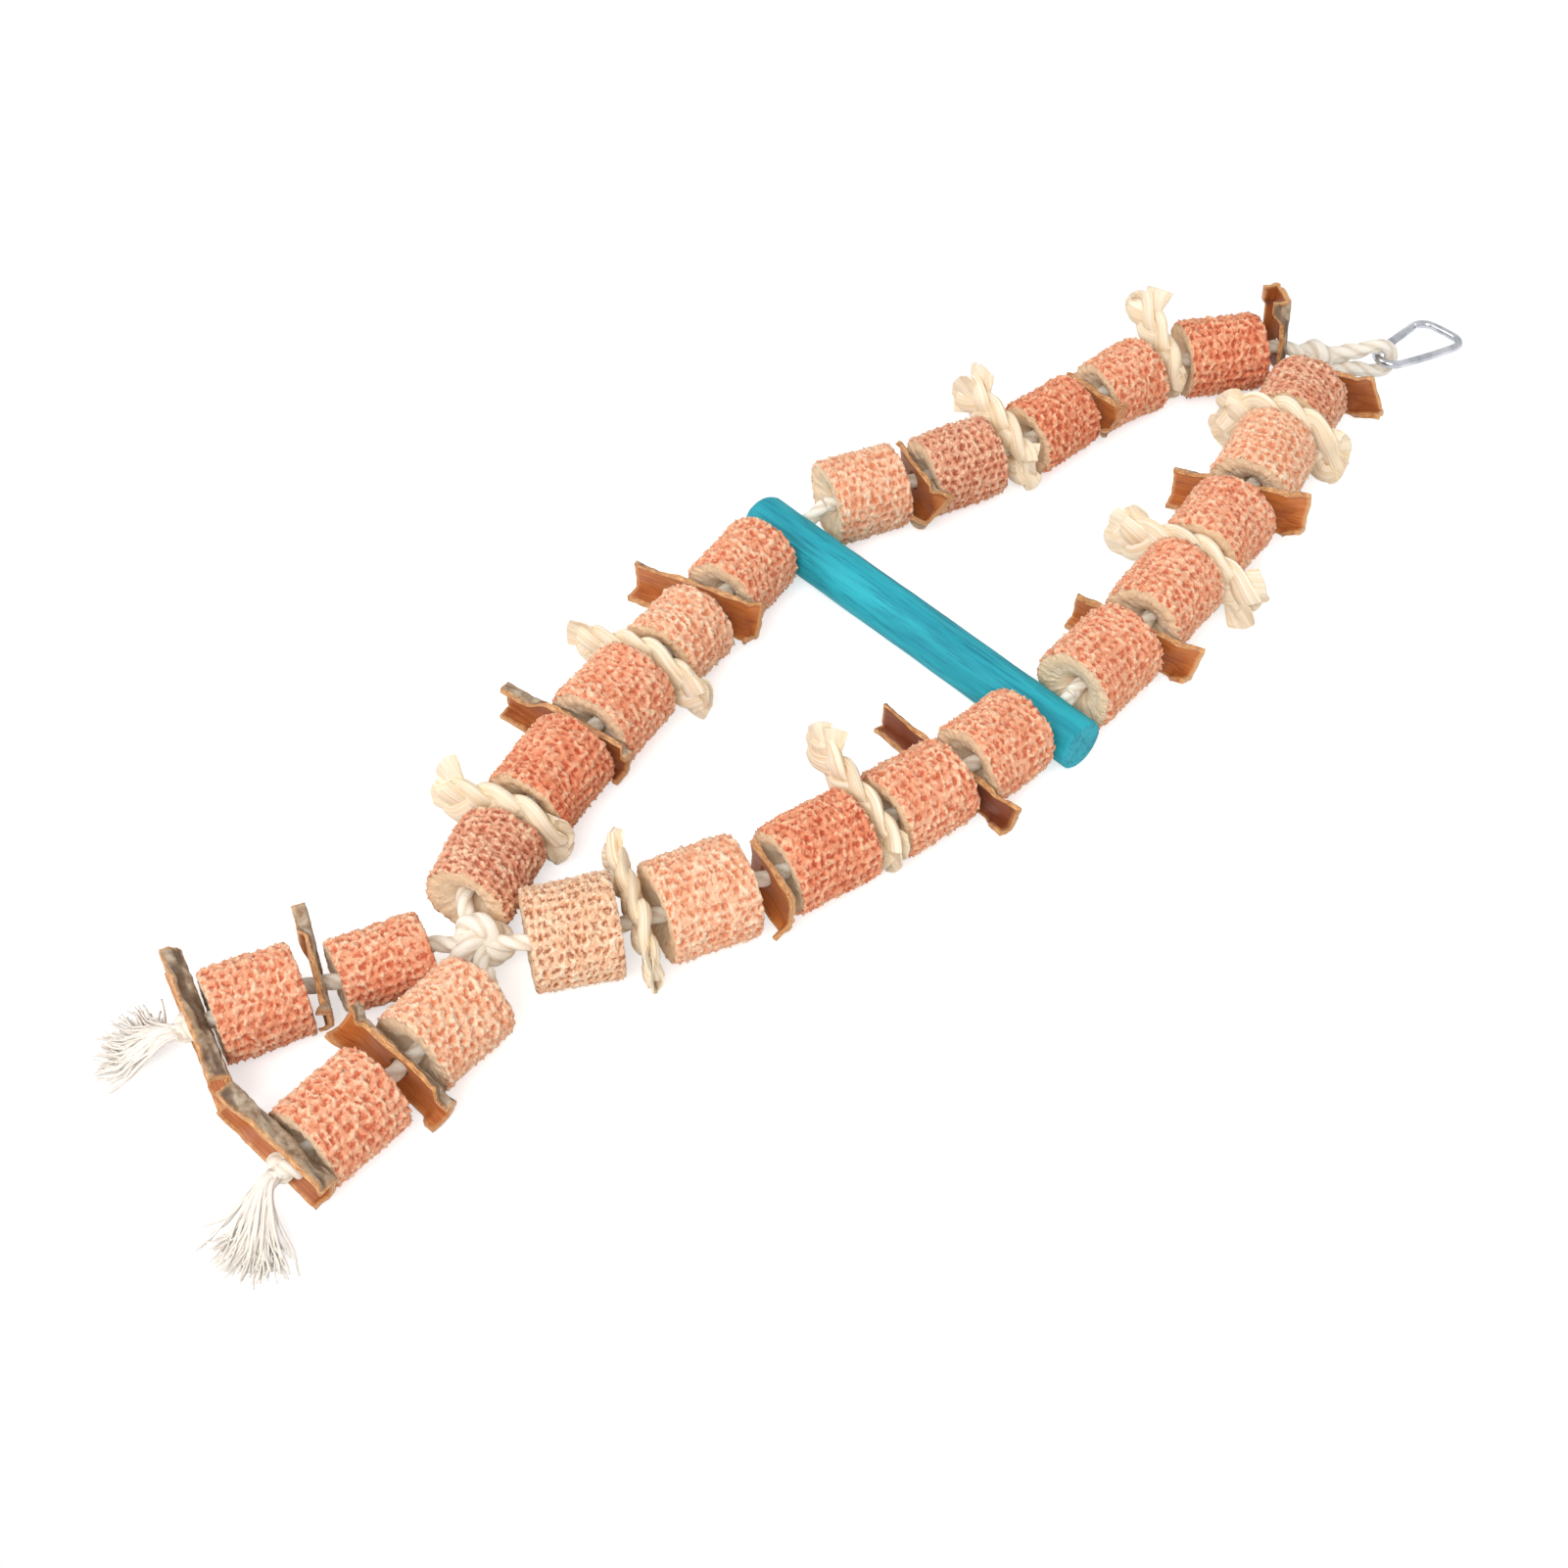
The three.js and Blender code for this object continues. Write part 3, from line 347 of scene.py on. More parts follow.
def units(rows):
    return rows / np.linalg.norm(rows, axis=1)[:, None]


def turned(vector, axis, degrees):
    c, s = math.cos(math.radians(degrees)), math.sin(math.radians(degrees))
    return vector * c + np.cross(axis, vector) * s + axis * (axis @ vector) * (1 - c)


def heading(degrees):
    return np.array([math.sin(math.radians(degrees)), math.cos(math.radians(degrees)), 0])


def smoothstep(low, high, value):
    t = np.clip((value - low) / (high - low), 0, 1)
    return t * t * (3 - 2 * t)


def lerp(a, b, t):
    return a + (b - a) * t


def ring_angles(count):
    return ROUND * np.arange(count) / count


def wobble(rng, points, wavelength, waves=9):
    """Smooth noise of about unit size over points in space."""
    total = np.zeros(points.shape[:-1])
    for _ in range(waves):
        direction = unit(rng.normal(size=points.shape[-1])) * ROUND / wavelength
        total += np.sin(points @ direction * rng.uniform(0.7, 1.3) + rng.uniform(0, ROUND))
    return total / math.sqrt(waves / 2)


def joint_place(name):
    joint = JOINTS[name]
    return np.array(joint["pos_m"]) / MM, unit(np.array(joint["axis"], float))


def node_points(name):
    vertices = frame["nodes"][name].data.vertices
    points = np.empty(len(vertices) * 3)
    vertices.foreach_get("co", points)
    return points.reshape(-1, 3) / MM


def box_middle(node):
    low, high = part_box(node)
    return np.array((low + high) / 2) / MM


def bead_frame(name, turn=0):
    """Middle of a bead, and its side, rope and up directions."""
    centre, axis = joint_place(name + "_spin")
    side = unit(np.cross(axis, UP))
    return centre, np.array([turned(side, axis, -turn), axis, turned(UP, axis, -turn)])


def cob_size(name):
    """Half the length and the radius of a cob's CAD solid."""
    centre, axis = joint_place(name + "_spin")
    offset = node_points(name) - centre
    along = offset @ axis
    return abs(along).max(), np.linalg.norm(offset - along[:, None] * axis, axis=1).max()


PERCH = box_middle("perch")
PERCH_FOOT = PERCH * (1, 1, 0)


# Meshes
def quads(rows, columns, wrap_rows=False, wrap_columns=False):
    """Faces of a grid of points, which can close on itself either way."""
    down, over = np.arange(rows - (not wrap_rows)), np.arange(columns - (not wrap_columns))
    i, j = np.meshgrid(down, over, indexing="ij")
    i2, j2 = (i + 1) % rows, (j + 1) % columns
    corners = [i * columns + j, i * columns + j2, i2 * columns + j2, i2 * columns + j]
    return np.stack(corners, -1).reshape(-1, 4)


def grid_outline(rows, columns):
    """Point numbers round the border of a grid."""
    grid = np.arange(rows * columns).reshape(rows, columns)
    return np.concatenate([grid[:-1, 0], grid[-1, :-1], grid[:0:-1, -1], grid[0, :0:-1]])


def tube_faces(rows, sides):
    """Faces of a tube with both ends closed."""
    ends = [list(range(sides))[::-1], list(range((rows - 1) * sides, rows * sides))]
    return [list(face) for face in quads(rows, sides, wrap_columns=True)] + ends


def sheet_faces(faces, edges, count):
    """Faces of a sheet's two sides, whose points are count numbers apart, and of walls along its edges."""
    front = [list(face) for face in faces]
    back = [[corner + count for corner in face[::-1]] for face in faces]
    return front + back + [[b, a, a + count, b + count] for a, b in edges]


class Mesh:
    """Points, faces and point attributes that are gathered into one piece."""

    def __init__(self):
        self.points, self.faces, self.attributes, self.count = [], [], {}, 0

    def add(self, points, faces, **attributes):
        points = np.asarray(points, float).reshape(-1, 3)
        self.points.append(points)
        self.faces += [[int(corner) + self.count for corner in face] for face in faces]
        for key, values in attributes.items():
            self.attributes.setdefault(key, []).append((self.count, np.ravel(values)))
        self.count += len(points)

    def write_attributes(self, mesh):
        for key, runs in self.attributes.items():
            whole = np.zeros(self.count, np.float32)
            for start, values in runs:
                whole[start:start + len(values)] = values
            mesh.attributes.new(key, "FLOAT", "POINT").data.foreach_set("value", whole)

    def piece(self, name, material, sharp=None):
        mesh = bpy.data.meshes.new(name)
        mesh.from_pydata((np.vstack(self.points) * MM).tolist(), [], self.faces)
        self.write_attributes(mesh)
        grid = bmesh.new()
        grid.from_mesh(mesh)
        bmesh.ops.remove_doubles(grid, verts=grid.verts, dist=WELD * MM)
        bmesh.ops.recalc_face_normals(grid, faces=grid.faces)
        grid.to_mesh(mesh)
        grid.free()
        mesh.polygons.foreach_set("use_smooth", [True] * len(mesh.polygons))
        if sharp:
            mesh.set_sharp_from_angle(angle=math.radians(sharp))
        mesh.materials.append(material)
        piece = bpy.data.objects.new(name, mesh)
        bpy.context.scene.collection.objects.link(piece)
        return piece


def dress(piece, body, node):
    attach(piece, body)
    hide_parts(node)


def dress_bend(piece, first, second, start, end, node):
    """Dresses rope that bends from one body to another between two places."""
    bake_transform(piece, first, second, start=start * MM, end=end * MM)
    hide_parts(node)


def cut(piece, cutter):
    """Takes the cutter's shape out of a piece."""
    modifier = piece.modifiers.new("cut", "BOOLEAN")
    modifier.operation, modifier.solver, modifier.object = "DIFFERENCE", "EXACT", cutter
    bpy.context.view_layer.objects.active = piece
    bpy.ops.object.modifier_apply(modifier=modifier.name)
    bpy.data.objects.remove(cutter)


def smooth_path(points, step):
    """Points a step apart on a smooth curve through the given ones."""
    points = np.asarray(points, float)
    spans = np.linalg.norm(np.diff(points, axis=0), axis=1)[:, None]
    slopes = np.diff(points, axis=0) / spans
    inner = (slopes[:-1] * spans[1:] + slopes[1:] * spans[:-1]) / (spans[1:] + spans[:-1])
    tangents = np.vstack([slopes[:1], inner, slopes[-1:]])
    path = []
    for k, span in enumerate(spans[:, 0]):
        t = np.linspace(0, 1, max(2, round(span / step)), endpoint=False)[:, None]
        start = (2 * t**3 - 3 * t**2 + 1) * points[k] + (t**3 - 2 * t**2 + t) * span * tangents[k]
        end = (3 * t**2 - 2 * t**3) * points[k + 1] + (t**3 - t**2) * span * tangents[k + 1]
        path.append(start + end)
    return np.vstack(path + [points[-1:]])


def path_run(path):
    return np.concatenate([[0], np.cumsum(np.linalg.norm(np.diff(path, axis=0), axis=1))])


def carried_frames(path, closed=False):
    """Normal and binormal at each point, carried along without twist."""
    if closed:
        tangents = units(np.roll(path, -1, axis=0) - np.roll(path, 1, axis=0))
    else:
        tangents = units(np.gradient(path, axis=0))
    helper = UP if abs(tangents[0] @ UP) < 0.9 else np.array([1.0, 0, 0])
    normal = unit(np.cross(tangents[0], helper))
    normals = []
    for tangent in tangents:
        normal = unit(normal - (normal @ tangent) * tangent)
        normals.append(normal)
    return np.array(normals), np.cross(tangents, normals)


def add_tube(mesh, path, radii, closed=False, **attributes):
    """A closed tube: radii has one row for each point of the path and one column for each side."""
    rows, sides = radii.shape
    normals, binormals = carried_frames(path, closed)
    angles = ring_angles(sides)[None, :, None]
    spokes = np.cos(angles) * normals[:, None] + np.sin(angles) * binormals[:, None]
    ring = quads(rows, sides, wrap_rows=True, wrap_columns=True) if closed else tube_faces(rows, sides)
    mesh.add(path[:, None] + spokes * radii[:, :, None], ring, **attributes)


def add_rope(mesh, path, radius=ROPE_RADIUS, closed=False, start=0.0):
    """Three soft strands laid round each other."""
    run = path_run(path) + start
    angles = ring_angles(ROPE_SIDES)
    twist = ROUND * run[:, None] / ROPE_LAY
    if closed:
        turns = round(run[-1] / ROPE_LAY * 3) / 3
        twist = ROUND * turns * (np.arange(len(path)) / len(path))[:, None]
    lobe = (angles - twist + math.pi / 3) % (ROUND / 3) - math.pi / 3
    side = STRAND_OFFSET * np.sin(lobe)
    shape = STRAND_OFFSET * np.cos(lobe) + np.sqrt(STRAND_RADIUS**2 - side**2)
    # The grooves between strands get painted shade
    add_tube(
        mesh, path, radius * shape, closed, crease=smoothstep(0.95, 0.77, shape),
        ply=(angles - twist) / ROUND, run=np.repeat(run[:, None], ROPE_SIDES, 1),
    )


# Materials
def linear(colour):
    c = np.array(colour) / 255
    return (*np.where(c <= 0.04045, c / 12.92, ((c + 0.055) / 1.055) ** 2.4), 1.0)


class Nodes:
    """Short calls for the nodes of one tree."""

    def __init__(self, tree):
        self.tree = tree

    def node(self, kind, **settings):
        node = self.tree.nodes.new(kind)
        for key, value in settings.items():
            setattr(node, key, value)
        return node

    def feed(self, socket, value):
        if isinstance(value, bpy.types.NodeSocket):
            self.tree.links.new(value, socket)
        elif isinstance(value, tuple):
            socket.default_value = linear(value)
        else:
            socket.default_value = value

    def filled(self, node, *values):
        """The node's first output, with the values on its first sockets."""
        for socket, value in zip(node.inputs, values):
            self.feed(socket, value)
        return node.outputs[0]

    def add(self, a, b, **settings):
        return self.filled(self.node("ShaderNodeMath", operation="ADD", **settings), a, b)

    def times(self, a, b):
        return self.filled(self.node("ShaderNodeMath", operation="MULTIPLY"), a, b)

    def span(self, value, low, high, to_low=0.0, to_high=1.0):
        return self.filled(self.node("ShaderNodeMapRange"), value, low, high, to_low, to_high)

    def mix_shaders(self, share, first, second):
        return self.filled(self.node("ShaderNodeMixShader"), share, first, second)


class Shade(Nodes):
    """A Principled material, with short calls for what feeds it."""

    def __init__(self, name, **values):
        self.material = bpy.data.materials.new(name)
        self.material.use_nodes = True
        super().__init__(self.material.node_tree)
        self.surface = self.tree.nodes["Principled BSDF"]
        for key, value in values.items():
            self.surface.inputs[key].default_value = value

    def attribute(self, name):
        return self.node("ShaderNodeAttribute", attribute_name=name).outputs["Fac"]

    def place(self):
        return self.node("ShaderNodeTexCoord").outputs["Object"]

    def vector(self, x, y):
        return self.filled(self.node("ShaderNodeCombineXYZ"), x, y)

    def stretched(self, vector, scale):
        node = self.node("ShaderNodeMapping")
        node.inputs["Scale"].default_value = scale
        return self.filled(node, vector)

    def noise(self, vector, scale, detail=3.0, roughness=0.55):
        node = self.node("ShaderNodeTexNoise")
        self.feed(node.inputs["Vector"], vector)
        for key, value in (("Scale", scale), ("Detail", detail), ("Roughness", roughness)):
            node.inputs[key].default_value = value
        return node.outputs["Fac"]

    def mix(self, share, a, b):
        node = self.node("ShaderNodeMix", data_type="RGBA")
        self.feed(node.inputs["Factor"], share)
        self.feed(node.inputs[6], a)
        self.feed(node.inputs[7], b)
        return node.outputs[2]

    def tint(self, base, colour, value, low, high, most=1.0):
        """The base, which turns to a colour as the value goes from low to high."""
        return self.mix(self.span(value, low, high, 0.0, most), base, colour)

    def colour(self, value):
        self.feed(self.surface.inputs["Base Color"], value)

    def roughness(self, value):
        self.feed(self.surface.inputs["Roughness"], value)

    def bump(self, height, strength, distance):
        node = self.node("ShaderNodeBump")
        node.inputs["Strength"].default_value = strength
        node.inputs["Distance"].default_value = distance * MM
        self.feed(node.inputs["Height"], height)
        self.feed(self.surface.inputs["Normal"], node.outputs[0])


def cob_material(tint):
    chaff, inside, lip = COB_TINTS[tint]
    shade = Shade("cob_" + tint, Roughness=0.92)
    place = shade.place()
    patches = shade.noise(place, 170)
    fibres = shade.noise(place, 1250, 4, 0.7)
    grit = shade.noise(place, 620, 3, 0.6)
    speckle = shade.span(fibres, 0.32, 0.68, -0.35, 0.35)
    skin = shade.tint(chaff, lip, patches, 0.35, 0.68, 0.45)
    # Pit hollows turn to the inside colour: painted shade of the hollow, with the chaff's own redder tone
    skin = shade.tint(skin, inside, shade.add(shade.attribute("rise"), speckle), 0.62, 0.0)
    skin = shade.tint(skin, inside, grit, 0.46, 0.3, 0.5)
    papery = shade.add(shade.attribute("fleck"), speckle)
    papery = shade.add(papery, shade.span(grit, 0.35, 0.7, -0.2, 0.3))
    skin = shade.tint(skin, lip, papery, 0.34, 0.85, 0.85)
    wood = shade.tint(COB_WOOD, COB_WOOD_DARK, fibres, 0.3, 0.7)
    wood = shade.mix(shade.attribute("core"), wood, COB_CORE)
    shade.colour(shade.mix(shade.attribute("end"), skin, wood))
    shade.bump(shade.add(fibres, shade.times(grit, 0.5)), 0.6, 0.5)
    return shade.material


def bark_material():
    shade = Shade("bark", Roughness=0.6)
    is_outer = shade.attribute("outer")
    grain = shade.vector(shade.attribute("run"), shade.attribute("across"))
    lines = shade.noise(shade.stretched(grain, (0.05, 1.6, 1)), 1.0, 5, 0.6)
    streaks = shade.noise(shade.stretched(grain, (0.1, 0.3, 1)), 1.0)
    scales = shade.noise(shade.place(), 330, 5, 0.65)
    inner = shade.tint(BARK_INNER, BARK_INNER_LIGHT, lines, 0.3, 0.7)
    inner = shade.tint(inner, BARK_INNER_STREAK, streaks, 0.45, 0.75, 0.6)
    # Each strip's share darkens its inside: painted shade, with some of the bark's own darker tone
    inner = shade.mix(shade.times(shade.attribute("deep"), 0.85), inner, BARK_INNER_SHADE_AND_TONE)
    outer = shade.tint(BARK_OUTER, BARK_OUTER_LIGHT, scales, 0.35, 0.65)
    outer = shade.tint(outer, BARK_OUTER_STREAK, streaks, 0.5, 0.7, 0.4)
    # The sunken cracks turn dark: painted shade
    outer = shade.tint(outer, BARK_CRACK_SHADE, shade.attribute("crack"), 0.2, 0.9, 0.7)
    layer = shade.vector(shade.times(shade.attribute("run"), 0.12), shade.attribute("depth"))
    edge = shade.tint(BARK_EDGE, BARK_EDGE_LIGHT, shade.noise(layer, 3.2), 0.38, 0.62)
    shade.colour(shade.mix(shade.attribute("edge"), shade.mix(is_outer, inner, outer), edge))
    shade.roughness(shade.span(is_outer, 0, 1, 0.45, 0.9))
    rough = shade.times(scales, shade.span(is_outer, 0, 1, 0.1, 1.0))
    shade.bump(shade.add(rough, shade.times(lines, 0.3)), 0.55, 0.6)
    return shade.material


def husk_material():
    shade = Shade("husk", Roughness=0.7)
    leaf = shade.vector(shade.attribute("run"), shade.attribute("across"))
    veins = shade.noise(shade.stretched(leaf, (0.03, 2.2, 1)), 1.0, 5, 0.65)
    skin = shade.tint(HUSK_DARK, HUSK_LIGHT, veins, 0.36, 0.6)
    skin = shade.tint(skin, HUSK_VEIN, veins, 0.64, 0.7, 0.5)
    skin = shade.tint(skin, HUSK_STAIN, shade.noise(shade.place(), 130), 0.5, 0.75, 0.4)
    # Painted shade in the crevices between strands and towards the leaf roots
    shade.colour(shade.tint(skin, HUSK_CREVICE_SHADE, shade.attribute("crease"), 0.3, 1, 0.8))
    shade.bump(veins, 0.6, 0.5)
    return shade.material


def rope_material(name, light, dark):
    shade = Shade(name, Roughness=0.95)
    yarn = shade.vector(shade.times(shade.attribute("run"), 0.22), shade.attribute("ply"))
    fibres = shade.noise(shade.stretched(yarn, (1, 26, 1)), 1.0, 4, 0.65)
    fuzz = shade.noise(shade.place(), 1400)
    cotton = shade.tint(dark, light, fibres, 0.3, 0.65)
    cotton = shade.tint(cotton, dark, fuzz, 0.5, 0.75, 0.35)
    # Painted shade in the rope's grooves, and a random darker tone on some tassel yarns
    shade.colour(shade.tint(cotton, COTTON_GROOVE_SHADE_AND_TONE, shade.attribute("crease"), 0, 1, 0.75))
    shade.bump(shade.add(fibres, shade.times(fuzz, 0.6)), 0.7, 0.5)
    return shade.material


def perch_material():
    shade = Shade("perch", Roughness=0.65)
    place = shade.place()
    grain = shade.noise(shade.stretched(place, (0.06, 1, 1)), 900, 5, 0.62)
    bands = shade.noise(shade.stretched(place, (0.12, 1, 1)), 190)
    dye = shade.tint(DYE, DYE_LIGHT, bands, 0.36, 0.66)
    dye = shade.tint(dye, DYE_GRAIN, grain, 0.5, 0.66, 0.75)
    dye = shade.tint(dye, DYE_PATCH, shade.noise(place, 42), 0.52, 0.75, 0.4)
    shade.colour(dye)
    shade.roughness(shade.span(grain, 0.3, 0.7, 0.58, 0.78))
    shade.bump(grain, 0.4, 0.25)
    return shade.material


def metal_material():
    shade = Shade("nickel", Metallic=1.0, Roughness=0.12)
    place = shade.place()
    smears = shade.noise(place, 160)
    scuffs = shade.noise(shade.stretched(place, (1, 0.1, 1)), 2600, 2)
    shade.colour(shade.tint(NICKEL, NICKEL_LIGHT, smears, 0.35, 0.7))
    shade.roughness(shade.span(shade.add(smears, scuffs), 0.7, 1.3, 0.06, 0.2))
    shade.bump(scuffs, 0.06, 0.05)
    return shade.material


# Corn cobs
def cob_pits(rng, spots, s, a, radius, tint):
    """How far each spot is from the middle of its pit, how far along it, and two chances for each pit."""
    rows_round = 2 * round(math.pi * radius / PIT_WIDTH)
    row = a * rows_round / ROUND + 0.13 * wobble(rng, spots, 16) + 0.1 * wobble(rng, spots, 4)
    row_number = np.floor(row).astype(int)
    place = s / PIT_PITCH[tint] + 0.5 * (row_number % 2)
    place += 0.25 * wobble(rng, spots, 15) + 0.14 * wobble(rng, spots, 4)
    place_number = np.floor(place).astype(int)
    chance = rng.uniform(size=(rows_round, PIT_CHANCES))
    cell = chance[row_number % rows_round, place_number % PIT_CHANCES]
    other = chance[(row_number * 7 + 3) % rows_round, (place_number * 5 + 1) % PIT_CHANCES]
    across, along = 2 * (row - row_number) - 1, 2 * (place - place_number) - 1
    sideways, lengthways = abs(across / (0.85 + 0.2 * cell)), abs(along / (0.85 + 0.2 * other))
    reach = (sideways**PIT_SQUARENESS + lengthways**PIT_SQUARENESS) ** (1 / PIT_SQUARENESS)
    return reach, along, cell, other


def cob_side(rng, half, radius, tint):
    """Height over the cob's cylinder, how high a spot stands between pit and ridge, and its papery flecks."""
    s, a = np.meshgrid(np.linspace(-half, half, COB_ROWS), ring_angles(COB_COLUMNS), indexing="ij")
    spots = np.stack([radius * np.cos(a), s, radius * np.sin(a)], -1)
    reach, along, cell, other = cob_pits(rng, spots, s, a, radius, tint)
    rise = smoothstep(0.25, 1.05, reach) * (0.75 + 0.25 * cell)
    lump = np.clip(0.5 + 0.45 * wobble(rng, spots, 2.3) + 0.3 * wobble(rng, spots, 1.4), 0, 1)
    rim = np.exp(-(((reach - 1.0) / 0.3) ** 2)) * smoothstep(-0.6, 0.5, along * np.sign(cell - 0.3))
    lips = rim * smoothstep(0.1, 0.6, other) * 0.75
    fleck = np.clip(lips + 0.55 * rise * smoothstep(0.55, 0.95, lump), 0, 1)
    ragged = rng.uniform(-1, 1, size=s.shape)
    height = -PIT_DEPTH * (1 - rise) * (0.55 + 0.45 * other) + 0.4 * fleck + (0.24 + 0.26 * fleck) * ragged
    height += 0.3 * (lump - 0.5) + 0.22 * wobble(rng, spots, 22)
    return height, np.clip(rise + 0.4 * ragged, 0, 1), np.clip(fleck + 0.35 * ragged, 0, 1)


def cob_face(rng, half, edge, circle, end):
    """Rings of one end face from its edge into the bore, with attributes: end is 1 or -1."""
    flat = end * (half - FACE_INSET - 0.2 * abs(wobble(rng, circle + 50 * end, 6)))
    depth = rng.uniform(0.3, 1.4)
    radii, run = [], []
    for share in FACE_SHARES:
        radii.append(np.maximum(lerp(BORE_RADIUS, edge, share), BORE_RADIUS))
        chip = 0.55 if share > 0.85 else 0.22
        hollow = depth * smoothstep(0.68, 0.38, share) + chip * rng.uniform(-1, 1, COB_COLUMNS)
        run.append(flat - end * np.maximum(hollow, -0.1))
    radii.append(np.full(COB_COLUMNS, BORE_RADIUS))
    run.append(np.full(COB_COLUMNS, end * (half - FACE_BORE_DEPTH)))
    core = np.repeat(smoothstep(0.62, 0.46, np.append(FACE_SHARES, 0.2))[:, None], COB_COLUMNS, 1)
    blank = 0 * core
    return [layer[::end] for layer in (np.array(radii), np.array(run), blank, blank, blank + 1, core)]


def cob_rings(rng, half, radius, tint):
    """Rings over the side and both end faces: radii, places, rise, fleck, end and core."""
    height, rise, fleck = cob_side(rng, half, radius, tint)
    base = COB_BASE * radius
    angle = ring_angles(COB_COLUMNS)
    circle = np.stack([np.cos(angle), np.sin(angle), 0 * angle], -1) * base
    run = np.repeat(np.linspace(-half + 0.5, half - 0.5, COB_ROWS)[:, None], COB_COLUMNS, 1)
    to_end = smoothstep(2.6, 0, half - abs(run))
    worn = 0.4 + 0.4 * rng.uniform(size=run.shape) + 0.2 * wobble(rng, circle, 7)
    radii = base + height - to_end**2 * worn
    fleck = np.maximum(fleck, to_end**2 * rng.uniform(0.2, 1, size=run.shape))
    parts = [(radii, run, rise, fleck, 0 * run, 0 * run)]
    for end, edge in ((1, radii[-1]), (-1, radii[0])):
        parts.append(cob_face(rng, half, edge, circle, end))
    return [np.concatenate(layers) for layers in zip(*parts)]


def make_cob(place, tint, material):
    name = "cob_" + place
    rng = seeded(name)
    half, radius = cob_size(name)
    centre, basis = bead_frame(name)
    radii, run, rise, fleck, end, core = cob_rings(rng, half, radius, tint)
    angle = ring_angles(COB_COLUMNS) + rng.uniform(0, 6)
    local = np.stack([radii * np.cos(angle), run, radii * np.sin(angle)], -1)
    points = (centre + local @ basis).reshape(-1, 3)
    points[:, 2] = np.maximum(points[:, 2], COB_REST)
    mesh = Mesh()
    faces = quads(len(radii), COB_COLUMNS, wrap_rows=True, wrap_columns=True)
    mesh.add(points, faces, rise=rise, fleck=fleck, end=end, core=core)
    dress(mesh.piece(name + "_chaff", material), name, name)


# Bark strips
def bark_depth(spec):
    """How much of the rope a strip takes up between two cobs."""
    arc = math.radians(spec.arcs[0])
    wall = (BARK_WIDTH - BARK_WEB) / 2 - BARK_CORNER
    return spec.wide * (BARK_CORNER * math.sin(arc / 4) + wall * math.sin(arc / 2)) + BARK_THICKNESS


def bark_grid(spec):
    """Places along and across a strip, its reach on that side, and how far they are past the cobs' hold."""
    left, right = spec.reach
    wall = 0.5 - BARK_WEB / 2 / BARK_WIDTH
    share = np.linspace(-1, 1, BARK_COLUMNS)
    places = np.where(share < 0, 0.5, 0.5 - wall * (1 - spec.top)) * share
    x, v = np.meshgrid(np.linspace(-left, right, BARK_ROWS), places, indexing="ij")
    reach = np.where(x < 0, left, right)
    held = np.minimum(BARK_HELD, reach - 1.5)
    return x, v, reach, (abs(x) - held) / (reach - held)


def bark_section(arc, span, wide):
    """Lean of a strip across its width, and the line of its section: across the web and down the walls."""
    corner = smoothstep(BARK_WEB / 2 - 0.5, BARK_WEB / 2 + BARK_CORNER + 0.5, abs(span) / wide)
    lean = np.sign(span) * corner * arc / 2
    middle, step = (lean[:, 1:] + lean[:, :-1]) / 2, np.diff(span, axis=1)
    blank = np.zeros((len(arc), 1))
    across = np.concatenate([blank, np.cumsum(np.cos(middle) * step, axis=1)], 1)
    down = np.concatenate([blank, np.cumsum(-np.sin(middle) * step, axis=1)], 1)
    centre = span.shape[1] // 2
    return lean, across - across[:, centre:centre + 1], down - down[:, centre:centre + 1]


def bark_skins(rng, flat):
    """Cracks in a strip, and how deep its outer and inner skins lie."""
    stretch = flat * (0.28, 1, 1)
    crack = smoothstep(0.45, 1.5, abs(wobble(rng, stretch, 6.5)) * 0.8 + 0.5 * wobble(rng, stretch, 3))
    outer = 0.6 * crack + 0.08 * wobble(rng, flat, 3.4) + 0.1
    thickness = BARK_THICKNESS * (1 + 0.06 * wobble(rng, flat, 11))
    inner = np.maximum(thickness + 0.04 * wobble(rng, flat * (0.15, 1, 1), 2.2), outer + 0.7)
    return crack, (outer, inner)


def bark_layers(rng, spec):
    """Outer and inner points of a curled strip in its own frame, its cracks and its nearness to an edge."""
    x, v, reach, beyond = bark_grid(spec)
    width = BARK_WIDTH * spec.wide
    past = smoothstep(-0.05, 0.45, beyond)
    middle_arc, *end_arcs = spec.arcs
    arc = np.radians(lerp(spec.curl or middle_arc, np.where(x < 0, *end_arcs), past))
    flat = np.stack([x, v * width, 0 * x], -1)
    to_rim = width * np.minimum(v.max() - v, v - v.min())
    edge = smoothstep(1.2, 0.4, np.minimum(to_rim, reach - abs(x)))
    rims = flat * (1, 0.02, 1)
    trim = 0.985 + 0.008 * wobble(rng, rims, 17) + 0.006 * wobble(rng, rims, 4)
    trim = trim * lerp(1 if spec.curl else BARK_PINCH, 1, past)
    lean, across, down = bark_section(arc[:, :1], v * width * trim, spec.wide)
    cut_line = np.where(x < 0, *spec.slant) * across + 0.12 * wobble(rng, flat * (0, 1, 1), 5)
    x = x + smoothstep(BARK_END_REACH, 0, reach - abs(x)) * (cut_line - np.sign(x) * 0.3)
    crack, depths = bark_skins(rng, flat)
    twist = np.radians(np.where(x < 0, *spec.twist)) * smoothstep(0.1, 0.9, beyond)
    web = (bark_depth(spec) - BARK_THICKNESS) / 2
    c, s = math.cos(math.radians(spec.yaw)), math.sin(math.radians(spec.yaw))
    layers = []
    for depth in depths:
        out = BARK_THICKNESS / 2 + down - depth * np.cos(lean)
        up = across - depth * np.sin(lean)
        y = web + out * np.cos(twist) + up * np.sin(twist)
        z = up * np.cos(twist) - out * np.sin(twist) - spec.drop
        layers.append(np.stack([x * c + y * s, y * c - x * s, z], -1))
    return layers, crack, flat, edge


